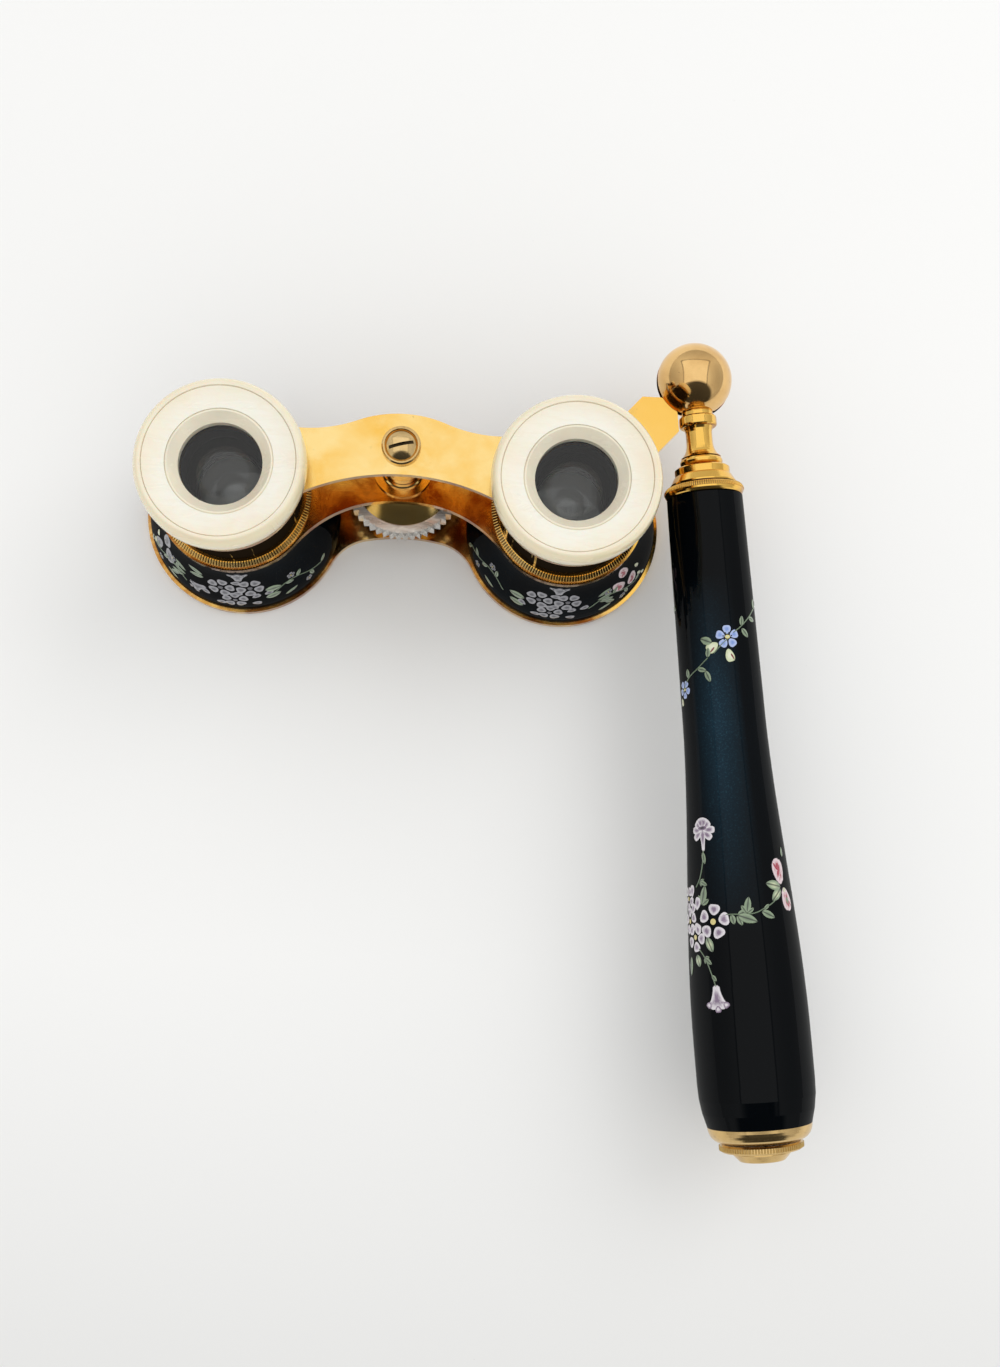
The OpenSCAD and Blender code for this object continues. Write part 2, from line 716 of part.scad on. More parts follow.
module focus_spindle() {
    color(gilt) on_column() turned([
        [0, spindle_foot], [spindle_r - edge, spindle_foot], [spindle_r, spindle_foot + edge],
        [spindle_r, upper_plate_z], [spindle_spigot_r, upper_plate_z], [spindle_spigot_r, upper_top],
        [screw_r, upper_top], [screw_r, head_z - screw_len], [0, head_z - screw_len]]);
}

module spindle_washer() {
    color(gilt) on_column() translate([0, 0, upper_top]) turned([
        [screw_r, 0], [washer_r, 0], [washer_r, washer_h - edge], [washer_r - edge, washer_h],
        [washer_bore_r, washer_h], [washer_bore_r, washer_floor_t], [screw_r, washer_floor_t]]);
}

module spindle_screw() {
    dome_h = screw_head_h - head_side_h;
    curve = dome_curve(head_r, dome_h);
    color(antique) on_column() translate([0, 0, head_z]) difference() {
        union() {
            translate([0, 0, -screw_len]) cylinder(r = screw_r, h = screw_len + head_side_h);
            intersection() {
                cylinder(r = head_r, h = screw_head_h + over);
                translate([0, 0, screw_head_h - curve]) sphere(r = curve);
            }
        }
        rotate(slot_angle) translate([-head_r - over, -slot_w / 2, screw_head_h - slot_depth])
            cube([2 * (head_r + over), slot_w, slot_depth + over]);
    }
}

// ---- Eyepieces ----

module upper_bridge() {
    mid = [0, upper_front_y - upper_front_r];
    last = meet(mid, upper_front_r, [barrel_x, 0], upper_ring_r);
    front = arc(mid, upper_front_r, 90, direction(mid, last));
    color(gilt) translate([0, 0, upper_plate_z]) linear_extrude(upper_plate_t) difference() {
        polygon(bridge_points(front, upper_ring_r));
        bores(draw_r);
        translate([0, column_y]) circle(r = spindle_spigot_r);
    }
}

module draw_tube(side) {
    foot = upper_plate_z - draw_drop;
    color(gilt) on_axis(side) translate([0, 0, foot]) difference() {
        cylinder(r = draw_r, h = upper_top - foot);
        translate([0, 0, -over]) cylinder(r = draw_bore_r, h = upper_top - foot + 2 * over);
    }
}

module eyepiece_cell(side) {
    spigot_bore_r = draw_bore_r - eye_spigot_wall;
    spigot_foot = upper_top - eye_spigot_h;
    color(gilt) on_axis(side) turned([
        [spigot_bore_r, spigot_foot], [draw_bore_r, spigot_foot], [draw_bore_r, upper_top],
        [upper_ring_r, upper_top], [upper_ring_r, flange_top - edge], [upper_ring_r - edge, flange_top],
        [boss_r, flange_top], [boss_r, boss_top], [eye_lens_r, boss_top], [eye_lens_r, eye_lens_z],
        [eye_lip_r, eye_lens_z], [eye_lip_r, upper_plate_z], [spigot_bore_r, upper_plate_z]]);
}

// Both faces are hollow
module eye_lens(side) {
    hollow_rise = sqrt(pow(eye_lens_curve, 2) - eye_lip_r * eye_lip_r);
    color(crystal) on_axis(side) translate([0, 0, eye_lens_z]) difference() {
        cylinder(r = eye_lens_r, h = eye_lens_rim);
        translate([0, 0, -hollow_rise]) sphere(r = eye_lens_curve, $fn = lens_fn);
        translate([0, 0, eye_lens_rim + hollow_rise]) sphere(r = eye_lens_curve, $fn = lens_fn);
    }
}

module eye_lens_ring(side) {
    color(steel) on_axis(side) translate([0, 0, eye_ring_z]) difference() {
        cylinder(r = eye_lens_r, h = boss_top - eye_ring_z);
        translate([0, 0, -over]) cylinder(r = eye_ring_r, h = boss_top - eye_ring_z + 2 * over);
    }
}

// Turned from shell: flares up to its widest place, rolls over to a crest, then a
// fine groove and a dished face
module eyecup(side, steps = 12, dish_steps = 6) {
    crown_h = cup_h - cup_widest;
    dish_r = cup_groove_r - groove_half;
    dish_z = cup_top - cup_groove_depth + 2 * groove_half;
    flare = [for (i = [0:steps]) let (a = 90 * i / steps)
        [cup_foot_r + (cup_r - cup_foot_r) * sin(a), flange_top + cup_widest * (1 - cos(a))]];
    crown = [for (i = [1:steps]) let (a = 90 * i / steps)
        [cup_face_r + (cup_r - cup_face_r) * cos(a), flange_top + cup_widest + crown_h * sin(a)]];
    dish = [for (i = [0:dish_steps]) let (t = i / dish_steps)
        [dish_r + (boss_r - dish_r) * t, dish_z + (cup_mouth_z - dish_z) * sin(90 * t)]];
    color(pearl) on_axis(side) turned(concat(
        [[boss_r, flange_top]], flare, crown,
        [[cup_groove_r + groove_half, cup_top - groove_half], [cup_groove_r, cup_top - cup_groove_depth]], dish));
}

module eyecup_insert(side) {
    mouth_edge = (boss_r - insert_mouth_r) / 2;
    color(pearl_grey) on_axis(side) turned([
        [opening_r, boss_top], [boss_r, boss_top], [boss_r, cup_mouth_z - edge],
        [boss_r - mouth_edge, cup_mouth_z], [insert_mouth_r, cup_mouth_z],
        [opening_r, cup_mouth_z - insert_cone_h]]);
}

// ---- Handle hinge ----

module hinge_ball() {
    color(antique) at_hinge() difference() {
        sphere(r = ball_r);
        difference() {
            cube([2 * (ball_r + over), 2 * (ball_r + over), slot_h], center = true);
            translate([web_s, 0, 0]) rotate([0, 90, 0]) cylinder(r = web_r, h = ball_r);
        }
        translate([seat_s, -ball_r, -ball_r]) cube(2 * ball_r);
        translate([0, 0, -ball_r - over]) cylinder(r = pin_r, h = ball_r + over + pin_top);
        translate([seat_s - (seat_s - web_s) * 0.8, 0, 0]) rotate([0, 90, 0])
            cylinder(r = neck_spigot_r, h = ball_r);
    }
}

module hinge_pin() {
    foot = -sqrt(ball_r * ball_r - pin_r * pin_r) + pin_recess;
    color(steel) at_hinge() translate([0, 0, foot]) cylinder(r = pin_r, h = pin_top - foot);
}

// Turned neck: collar, hollow, small bead and foot with the inner tube's socket
module handle_neck(steps = 12) {
    hollow = [for (i = [0:steps]) let (t = i / steps)
        [waist_r + waist_fillet * pow(max(0, 1 - 5 * t), 2)
             + (small_bead_r - edge - waist_r) * pow(max(0, (t - 0.4) / 0.6), 3),
         bead_s + waist_len * t]];
    bead = arc([small_bead_r - small_bead_len / 2, (waist_s + small_bead_s) / 2], small_bead_len / 2, -90, 90, 8);
    color(gilt) along_handle() turned(concat(
        [[0, seat_s - (seat_s - web_s) * 0.8], [neck_spigot_r, seat_s - (seat_s - web_s) * 0.8],
         [neck_spigot_r, seat_s], [stem_r, seat_s], [stem_r, stem_s]],
        arc([bead_r - bead_round, stem_s + bead_round], bead_round, -90, 0, 4),
        arc([bead_r - bead_round, bead_s - bead_round], bead_round, 0, 90, 4),
        hollow, bead,
        [[small_bead_r, small_bead_s], [neck_foot_r - edge, small_bead_s + edge], [neck_foot_r, small_bead_s + 2 * edge],
         [neck_foot_r, neck_foot_s], [inner_tube_r, neck_foot_s], [inner_tube_r, inner_tube_top], [0, inner_tube_top]]));
}

module handle_shoulder() {
    color(gilt) along_handle() turned([
        [inner_tube_r, neck_foot_s], [neck_foot_r, neck_foot_s], [neck_foot_r + edge, neck_foot_s + edge],
        [shoulder_r, shoulder_s - edge], [shoulder_r, shoulder_s], [inner_tube_r, shoulder_s]]);
}

// ---- Telescoping tube and lock ----

module inner_tube() {
    color(steel) along_handle() turned([
        [inner_bore_r, inner_tube_top], [inner_tube_r, inner_tube_top],
        [inner_tube_r, inner_tube_end], [inner_bore_r, inner_tube_end]]);
}

module inner_tube_foot() {
    runner_r = liner_bore_r - bore_gap;
    color(gilt) along_handle() turned([
        [inner_tube_r, inner_tube_end + tube_foot_wall - tube_foot_len],
        [runner_r, inner_tube_end + tube_foot_wall - tube_foot_len],
        [runner_r, inner_tube_end + tube_foot_wall], [rod_r + bore_gap, inner_tube_end + tube_foot_wall],
        [rod_r + bore_gap, inner_tube_end], [inner_tube_r, inner_tube_end]]);
}

module lock_rod() {
    color(steel) along_handle() translate([0, 0, rod_top]) cylinder(r = rod_r, h = button_s - rod_top);
}

module lock_expander() {
    color(gilt) along_handle() translate([0, 0, rod_top]) difference() {
        cylinder(r = inner_bore_r - bore_gap, h = expander_len);
        translate([0, 0, -over]) cylinder(r = rod_r, h = expander_len + 2 * over);
    }
}

// ---- Grip ----

function grip_side(steps = 46) =
    [for (i = [0:steps]) let (t = grip_len * i / steps) [grip_r(t), grip_s + t]];

module grip_enamel() {
    outside = grip_side();
    inside = [for (p = outside) p - [grip_wall, 0]];
    color(enamel) along_handle() turned(concat(outside, reversed(inside)));
}

module grip_liner() {
    color(steel) along_handle() turned([
        [liner_bore_r, grip_s], [liner_r, grip_s],
        [liner_r, grip_end_s + liner_sink], [liner_bore_r, grip_end_s + liner_sink]]);
}

module top_ferrule() {
    round_r = ferrule_len / 2;
    rim = arc([ferrule_r - round_r, ferrule_s + round_r], round_r, -90, 90, 10);
    color(gilt) along_handle() turned(concat(
        [[inner_tube_r + bore_gap, ferrule_s]], rim,
        [[grip_top_r - grip_wall, grip_s], [grip_top_r - grip_wall, grip_s + ferrule_spigot_len],
         [liner_r, grip_s + ferrule_spigot_len], [liner_r, grip_s], [inner_tube_r + bore_gap, grip_s]]));
}

module bottom_cap(steps = 8) {
    spigot_r = grip_end_r - grip_wall;
    bowl = [for (i = [0:steps]) let (a = 90 * i / steps)
        [end_cap_small_r + (grip_end_r - end_cap_small_r) * cos(a), grip_end_s + end_cap_len * sin(a)]];
    color(antique) along_handle() turned(concat(
        [[liner_r, grip_end_s], [spigot_r - end_spigot_wall, grip_end_s],
         [spigot_r - end_spigot_wall, grip_end_s - end_spigot_len], [spigot_r, grip_end_s - end_spigot_len],
         [spigot_r, grip_end_s]], bowl,
        [[rod_r + bore_gap, end_cap_s], [rod_r + bore_gap, grip_end_s + liner_sink],
         [liner_r, grip_end_s + liner_sink]]));
}

module knob_ring() {
    color(antique) along_handle() bevelled_ring(rod_r, knob_r, knob_s, button_s, ring_bevel);
}

module knob_button() {
    color(antique) along_handle() turned([
        [0, button_s], [button_r - edge, button_s], [button_r, button_s + edge], [button_r, button_s + 2 * edge],
        [button_end_r + edge, button_s + button_len - edge], [button_end_r, button_s + button_len],
        [0, button_s + button_len]]);
}

// ---- Assembly ----

lower_bridge();
middle_bridge();
barrel_tube(left);  // barrel_tube_left
barrel_tube(right);  // barrel_tube_right
enamel_sleeve(left);  // enamel_sleeve_left
enamel_sleeve(right);  // enamel_sleeve_right
collar_ring(left);  // collar_ring_left
collar_ring(right);  // collar_ring_right
objective_cell(left);  // objective_cell_left
objective_cell(right);  // objective_cell_right
objective_lens(left);  // objective_lens_left
objective_lens(right);  // objective_lens_right
objective_ring(left);  // objective_ring_left
objective_ring(right);  // objective_ring_right
column_collar();
column_foot();
wheel_rim();
wheel_hub();
wheel_cap_top();
wheel_cap_low();
upper_bridge();
focus_spindle();
spindle_washer();
spindle_screw();
draw_tube(left);  // draw_tube_left
draw_tube(right);  // draw_tube_right
eyepiece_cell(left);  // eyepiece_cell_left
eyepiece_cell(right);  // eyepiece_cell_right
eyecup(left);  // eyecup_left
eyecup(right);  // eyecup_right
eyecup_insert(left);  // eyecup_insert_left
eyecup_insert(right);  // eyecup_insert_right
eye_lens(left);  // eye_lens_left
eye_lens(right);  // eye_lens_right
eye_lens_ring(left);  // eye_lens_ring_left
eye_lens_ring(right);  // eye_lens_ring_right
hinge_ball();
hinge_pin();
handle_neck();
handle_shoulder();
inner_tube();
inner_tube_foot();
top_ferrule();
grip_enamel();
grip_liner();
bottom_cap();
knob_ring();
knob_button();
lock_rod();
lock_expander();
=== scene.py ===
import json
import math

import bpy
import numpy as np
from bpy.props import (
    FloatProperty,
    FloatVectorProperty,
    IntProperty,
    PointerProperty,
)
from mathutils import Matrix, Vector

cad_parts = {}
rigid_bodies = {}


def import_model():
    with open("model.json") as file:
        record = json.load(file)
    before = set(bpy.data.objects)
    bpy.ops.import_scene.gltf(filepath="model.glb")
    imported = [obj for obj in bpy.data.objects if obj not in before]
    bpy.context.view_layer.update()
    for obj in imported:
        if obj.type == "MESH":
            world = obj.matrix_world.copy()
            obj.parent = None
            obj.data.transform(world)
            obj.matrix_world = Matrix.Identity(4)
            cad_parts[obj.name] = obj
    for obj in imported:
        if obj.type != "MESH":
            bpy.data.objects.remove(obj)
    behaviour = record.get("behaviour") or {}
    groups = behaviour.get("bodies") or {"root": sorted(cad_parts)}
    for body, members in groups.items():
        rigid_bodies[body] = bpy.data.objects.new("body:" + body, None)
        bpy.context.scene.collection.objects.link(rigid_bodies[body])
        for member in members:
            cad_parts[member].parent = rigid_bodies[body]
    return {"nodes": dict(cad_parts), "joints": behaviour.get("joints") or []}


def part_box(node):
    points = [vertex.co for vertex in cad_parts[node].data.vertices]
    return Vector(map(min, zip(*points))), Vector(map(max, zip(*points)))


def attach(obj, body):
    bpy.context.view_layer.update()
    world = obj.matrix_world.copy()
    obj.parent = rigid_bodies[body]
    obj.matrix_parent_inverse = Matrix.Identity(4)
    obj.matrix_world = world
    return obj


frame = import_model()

bl_info = {
    "name": "Opera Glasses Finish",
    "version": (1, 0, 0),
    "blender": (4, 5, 0),
    "location": "3D View > Sidebar > Opera Glasses",
    "description": "Metal, shell, glass and painted enamel for a pair of opera glasses",
    "category": "Object",
}

MM = 0.001
SIDES = ("left", "right")
BORE_BLACK = (0.014, 0.013, 0.012)
BRUSH_DEPTH = 0.02 * MM
BORE_DEPTH = 1.0 * MM  # a wall that faces its axis from further than this is the bore's
SLOT_DEPTH = 0.3 * MM  # a flat face this far below the screw's top is the floor of its slot
ARM_FROM, ARM_TO = 37 * MM, 43 * MM  # where the arm leaves the right-hand ring
LEFT_REFLECTION_FROM, LEFT_REFLECTION_TO = -14 * MM, -7 * MM  # painted reflection: the gilt shows most on the draw tubes' left sides, where they reflect the bright room
SHEEN_SIDE, SHEEN_CORE, SHEEN_REACH = (math.radians(a) for a in (18, 2, 38))  # where the painted sheen lies round the handle
SHEEN_RISE, SHEEN_FALL = (-12 * MM, 14 * MM), (-26 * MM, 10 * MM)  # how softly the painted sheen begins and ends
SHELL_INNER, SHELL_ROLL, SHELL_OUTER = 9.6 * MM, 13.2 * MM, 14.6 * MM  # radii of the eyecup
BEVEL_MILLED, FERRULE_MILLED = 0.9, -0.85  # share of the slope beyond, or behind, each band
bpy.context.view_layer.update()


# ---------------------------------------------------------------- frame


def joint(name):
    """The joint of that name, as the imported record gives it."""
    return next(j for j in frame["joints"] if j["name"] == name)


def middle(node):
    """Middle of a node's box."""
    low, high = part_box(node)
    return (low + high) / 2


def foot_of(node):
    """The point at height 0 under the middle of a node."""
    centre = middle(node)
    return Vector((centre.x, centre.y, 0))


def read(items, field):
    """One vector for each of a mesh's items, as rows of an array."""
    values = np.empty(len(items) * 3, np.float32)
    items.foreach_get(field, values)
    return values.reshape(-1, 3).astype(float)


HANDLE_START = Vector(joint("handle_swing")["pos_m"])
HANDLE_ALONG = Vector(joint("handle_extend")["axis"]).normalized()
UP = Vector((0, 0, 1))
HANDLE_RIGHT = UP.cross(HANDLE_ALONG).normalized()


# ---------------------------------------------------------------- settings


def colour(name, description, value):
    return FloatVectorProperty(
        name=name, description=description, subtype="COLOR", size=3, min=0, max=1, default=value
    )


def length(name, description, value):
    return FloatProperty(
        name=name, description=description, unit="LENGTH", min=0, precision=5, default=value
    )


def share(name, description, value):
    return FloatProperty(name=name, description=description, subtype="FACTOR", min=0, max=1, default=value)


def count(name, description, low, high, value):
    return IntProperty(name=name, description=description, min=low, max=high, default=value)


class MetalSettings(bpy.types.PropertyGroup):
    gilt: colour("Gilt", "Colour of the bright gilding", (1.0, 0.74, 0.30))
    gilt_deep: colour("Deep gilt", "Colour where the gilding is thinner", (0.97, 0.58, 0.12))
    brass: colour("Brass", "Colour of the older, bare brass", (0.72, 0.49, 0.20))
    tarnish: colour("Tarnish", "Colour of the tarnish on the bare brass", (0.30, 0.17, 0.06))
    # Painted reflection: this dark colour stands in for the dark surroundings that the draw tubes reflect
    painted_reflection: colour("Lacquer", "Colour of the dark lacquer on the draw tubes", (0.014, 0.009, 0.005))
    # stain is the colour of a painted shade: orange-brown for shade and reflected gilding on upright faces
    # and on the bridges
    stain: colour("Stain", "Colour of the stains on the gilding's upright faces", (0.34, 0.11, 0.018))
    steel: colour("Steel", "Colour of the drawn steel", (0.60, 0.60, 0.58))
    polish: share("Gilt roughness", "Roughness of the polished gilding", 0.11)


class EnamelSettings(bpy.types.PropertyGroup):
    ground: colour("Ground", "Colour of the enamel where little light returns", (0.0010, 0.0013, 0.0018))
    glow: colour("Glow", "Colour of the engraved ground through the enamel", (0.007, 0.027, 0.046))
    # Painted sheen: the blue glow painted along the handle's middle stands in for the overhead light
    # reflected from its engraved ground
    sheen_from: length("Glow from", "Where the glow of the handle's enamel begins, from the ball", 50 * MM)
    sheen_to: length("Glow to", "Where the glow of the handle's enamel ends", 92 * MM)


class ShellSettings(bpy.types.PropertyGroup):
    cream: colour("Cream", "Main colour of the shell", (0.92, 0.845, 0.68))
    pale: colour("Pale", "Lightest colour of the shell", (0.94, 0.905, 0.80))
    shade: colour("Shade", "Darker growth bands of the shell", (0.84, 0.74, 0.56))
    # Painted shade: the darker, creamier colour painted on the rolled rim where it turns from the light
    edge: colour("Edge", "Creamier colour of the rounded rim", (0.86, 0.76, 0.50))
    # Painted shade: this grey stands in for the shade in the inserts' conical recess
    grey: colour("Grey", "Colour of the inner rings", (0.62, 0.60, 0.50))


class MillingSettings(bpy.types.PropertyGroup):
    fullness: share("Fullness", "Share of each rib's pitch that the rib fills", 0.66)
    collar_ribs: count("Collar ribs", "Ribs round each collar", 40, 300, 170)
    ferrule_ribs: count("Ferrule ribs", "Ribs round the ferrule", 30, 200, 112)
    knob_ribs: count("Knob ribs", "Ribs round the locking knob", 30, 200, 90)


class FlowerSettings(bpy.types.PropertyGroup):
    paint: length("Paint thickness", "Thickness of the painted petals", 0.05 * MM)
    stem: length("Stem width", "Width of the painted stems", 0.22 * MM)
    white: colour("White", "Edge of the blossoms", (0.76, 0.72, 0.76))
    lilac: colour("Lilac", "Heart of the blossoms", (0.24, 0.17, 0.26))
    mouth: colour("Mouth", "Dark mouth of the trumpet flower", (0.02, 0.012, 0.025))
    blue: colour("Blue", "Heart of the small blue flowers", (0.20, 0.31, 0.66))
    blue_edge: colour("Blue edge", "Edge of the small blue flowers", (0.42, 0.52, 0.82))
    rose: colour("Rose", "Deep pink of the roses", (0.36, 0.03, 0.06))
    blush: colour("Blush", "Edge of the rose petals", (0.72, 0.58, 0.61))
    leaf: colour("Leaf", "Leaves and stems", (0.15, 0.21, 0.13))
    leaf_pale: colour("Pale leaf", "Lit side of the leaves", (0.25, 0.33, 0.21))
    grey: colour("Grey", "Edge of the small blossoms on the barrels", (0.31, 0.31, 0.34))
    slate: colour("Slate", "Heart of the small blossoms on the barrels", (0.07, 0.07, 0.09))
    bud: colour("Bud", "Cream-green buds", (0.62, 0.68, 0.44))
    bud_foot: colour("Bud foot", "Foot of the buds", (0.74, 0.76, 0.58))
    yellow: colour("Yellow", "Stamens", (0.72, 0.62, 0.24))
    red_brown: colour("Red-brown", "Streak on the buds", (0.20, 0.03, 0.03))


class StageSettings(bpy.types.PropertyGroup):
    floor: colour("Floor", "Colour of the table top at its far end", (0.96, 0.96, 0.955))
    # Painted shade: the table top is painted darker towards its near end, where the light falls off
    floor_near_shade: colour("Near floor", "Colour of the table top at its near end", (0.82, 0.82, 0.815))
    key_power: FloatProperty(
        name="Key light", description="Power of the large soft light", unit="POWER", min=0, default=3.0
    )
    key_size: length("Key size", "Width of the large soft light", 0.9)
    sky: share("Sky", "Brightness of the bright patch overhead", 1.0)
    fill: share("Fill", "Brightness of the even light from all round", 0.90)


SETTINGS = {
    "metal": MetalSettings,
    "enamel": EnamelSettings,
    "shell": ShellSettings,
    "milling": MillingSettings,
    "flowers": FlowerSettings,
    "stage": StageSettings,
}


def settings(kind):
    """The scene's settings of one kind."""
    return getattr(bpy.context.scene, "opera_" + kind)


# ---------------------------------------------------------------- nodes


class Nodes:
    """A node tree, with short ways to add its nodes and to fill their sockets."""

    def __init__(self, tree):
        self.tree = tree

    def put(self, socket, value):
        if isinstance(value, bpy.types.NodeSocket):
            self.tree.links.new(value, socket)
        elif hasattr(value, "__len__") and len(socket.default_value) == 4 and len(value) == 3:
            socket.default_value = (*value, 1)
        else:
            socket.default_value = value

    def node(self, kind, inputs=None, **options):
        made = self.tree.nodes.new(kind)
        for name, value in options.items():
            setattr(made, name, value)
        for name, value in (inputs or {}).items():
            self.put(made.inputs[name], value)
        return made

    def maths(self, operation, first, second=0.0, third=0.0):
        return self.node("ShaderNodeMath", {0: first, 1: second, 2: third}, operation=operation).outputs[0]

    def level(self, value, low, high, to_low=0.0, to_high=1.0, **options):
        values = {"Value": value, "From Min": low, "From Max": high, "To Min": to_low, "To Max": to_high}
        return self.node("ShaderNodeMapRange", values, **options).outputs["Result"]

    def vector(self, operation, first, second):
        made = self.node("ShaderNodeVectorMath", {0: first, 1: second}, operation=operation)
        return made.outputs["Value" if operation == "DOT_PRODUCT" else "Vector"]

    def scaled(self, vector, scale):
        made = self.node("ShaderNodeVectorMath", {0: vector, "Scale": scale}, operation="SCALE")
        return made.outputs["Vector"]

    def split(self, vector):
        return self.node("ShaderNodeSeparateXYZ", {0: vector}).outputs


# ---------------------------------------------------------------- materials


class Finish(Nodes):
    """A new material, with short ways to add the nodes that give it its detail."""

    def __init__(self, name):
        self.material = bpy.data.materials.new(name)
        self.material.use_nodes = True
        super().__init__(self.material.node_tree)
        self.shader = self.tree.nodes["Principled BSDF"]
        coordinates = self.node("ShaderNodeTexCoord").outputs
        self.place, self.facing = coordinates["Object"], coordinates["Normal"]

    def done(self, **values):
        """Sets the shader's sockets, where an underscore in a name stands for a space, and gives
        the material."""
        for name, value in values.items():
            self.put(self.shader.inputs[name.replace("_", " ")], value)
        return self.material

    def stretched(self, scale, turn=(0, 0, 0)):
        values = {"Vector": self.place, "Scale": scale, "Rotation": turn}
        return self.node("ShaderNodeMapping", values).outputs[0]

    def noise(self, scale, detail, rough, distortion=0.0, vector=None):
        values = {
            "Vector": vector or self.place,
            "Scale": scale,
            "Detail": detail,
            "Roughness": rough,
            "Distortion": distortion,
        }
        return self.node("ShaderNodeTexNoise", values).outputs["Fac"]

    def blend(self, factor, first, second, mode="MIX"):
        made = self.node("ShaderNodeMix", data_type="RGBA", blend_type=mode)
        self.put(made.inputs[0], factor)
        self.put(made.inputs[6], first)
        self.put(made.inputs[7], second)
        return made.outputs[2]

    def bump(self, height, strength, distance):
        values = {"Height": height, "Strength": strength, "Distance": distance}
        return self.node("ShaderNodeBump", values).outputs["Normal"]

    def attribute(self, name, output="Color"):
        return self.node("ShaderNodeAttribute", attribute_name=name).outputs[output]


def finish_nodes(material, *nodes):
    """Gives carried-over nodes a material."""
    for name in nodes:
        shown = frame["nodes"][name]
        if not shown.material_slots:
            shown.data.materials.append(material)
        for slot in shown.material_slots:
            slot.material = material


def both(*names):
    return [f"{name}_{side}" for name in names for side in SIDES]


def scratches(finish):
    """Fine polishing marks that run three ways."""
    marks = None
    for turn in (0.3, 1.4, 2.5):
        lines = finish.noise(1, 2, 0.6, vector=finish.stretched((90, 5200, 900), (0.2, 0.1, turn)))
        fine = finish.level(lines, 0.62, 0.72)
        marks = fine if marks is None else finish.maths("ADD", marks, fine)
    return marks


def brushed(finish, height, strength=0.06):
    """A normal with a height and polishing marks in it."""
    return finish.bump(finish.maths("ADD", height, scratches(finish)), strength, BRUSH_DEPTH)


def bore_mask(finish):
    """1 on the walls that face either optical axis, 0 elsewhere."""
    reach = abs(middle("barrel_tube_right").x)
    x, y, _ = finish.split(finish.place)
    nx, ny, _ = finish.split(finish.facing)
    across = finish.maths("SUBTRACT", finish.maths("ABSOLUTE", x), reach)
    outward = finish.maths("MULTIPLY", finish.maths("SIGN", x), finish.maths("MULTIPLY", nx, across))
    away = finish.maths("MULTIPLY_ADD", ny, y, outward)
    return finish.maths("LESS_THAN", away, -BORE_DEPTH)


def milled_band(node, start, axis, reach):
    """Where a node's milled band lies: a place, a direction and two distances along it."""
    path = milled_path(profile_of(node, start, axis), reach)
    return start, axis, path[0][1], path[-1][1]


def gilt_material(name="polished_gilt", black_bore=False, band=None, painted_shade_all_over=False):
    """Bright gilding, with an orange-brown painted shade in mottled patches on its upright faces, where
    they turn from the light. Where asked, it is black in the bore, dark with dirt in a milled band, or
    covered with that painted shade all over but for the arm, as the bridges lie in shade and reflect the
    gilding above them."""
    metal = settings("metal")
    finish = Finish(name)
    cloud = finish.noise(110, 4, 0.55, 0.4)
    mottle = finish.noise(420, 3, 0.6)
    tint = finish.blend(finish.level(cloud, 0.35, 0.68), metal.gilt, metal.gilt_deep)
    tint = finish.blend(finish.level(mottle, 0.5, 0.8, 0, 0.35), tint, (1.0, 0.80, 0.40))
    on_arm = finish.level(finish.split(finish.place)[0], ARM_FROM, ARM_TO)
    tint = finish.blend(on_arm, tint, finish.blend(0.85, tint, metal.gilt_deep))
    # Painted shade: the stain colour goes on upright faces, or all over but for the arm, in mottled patches
    upright = finish.maths("ABSOLUTE", finish.split(finish.facing)[2])
    painted_shade_mask = finish.maths("SUBTRACT", 1.0, on_arm) if painted_shade_all_over else finish.level(upright, 0.25, 0.6, 1, 0)
    shade_patches = finish.level(finish.noise(150, 5, 0.7, 0.8), 0.38, 0.62, 0.25, 1.0)
    tint = finish.blend(finish.maths("MULTIPLY", painted_shade_mask, shade_patches), tint, metal.stain)
    specks = finish.level(finish.noise(900, 2, 0.7), 0.72, 0.8, 0, 0.55)
    tint = finish.blend(specks, tint, (0.45, 0.22, 0.06))
    if band:
        start, axis, low, high = band
        along = finish.vector("DOT_PRODUCT", finish.vector("SUBTRACT", finish.place, start), axis)
        past, before = finish.maths("GREATER_THAN", along, low), finish.maths("LESS_THAN", along, high)
        milled = finish.maths("MULTIPLY", past, before)
        tint = finish.blend(finish.maths("MULTIPLY", milled, 0.85), tint, metal.tarnish)
    shine, rough = 1.0, finish.level(cloud, 0.3, 0.7, metal.polish - 0.03, metal.polish + 0.07)
    if black_bore:
        bore = bore_mask(finish)
        tint = finish.blend(bore, tint, BORE_BLACK)
        shine = finish.maths("SUBTRACT", 1.0, bore)
        rough = finish.maths("MULTIPLY_ADD", bore, 0.4, rough)
    return finish.done(
        Base_Color=tint,
        Metallic=shine,
        Roughness=rough,
        Normal=brushed(finish, finish.maths("MULTIPLY", cloud, 0.7)),
    )


def ball_material():
    """Polished brass, gilded once and worn, with a few pits."""
    metal = settings("metal")
    finish = Finish("polished_ball")
    cloud = finish.noise(140, 4, 0.55, 0.5)
    tint = finish.blend(finish.level(cloud, 0.35, 0.7), (0.92, 0.61, 0.26), (0.72, 0.44, 0.17))
    pits = finish.level(finish.noise(1100, 2, 0.7), 0.70, 0.78)
    return finish.done(
        Base_Color=finish.blend(finish.maths("MULTIPLY", pits, 0.7), tint, metal.tarnish),
        Metallic=1.0,
        Roughness=finish.level(cloud, 0.3, 0.7, 0.06, 0.12),
        Normal=brushed(finish, finish.maths("MULTIPLY", pits, -1.0)),
    )


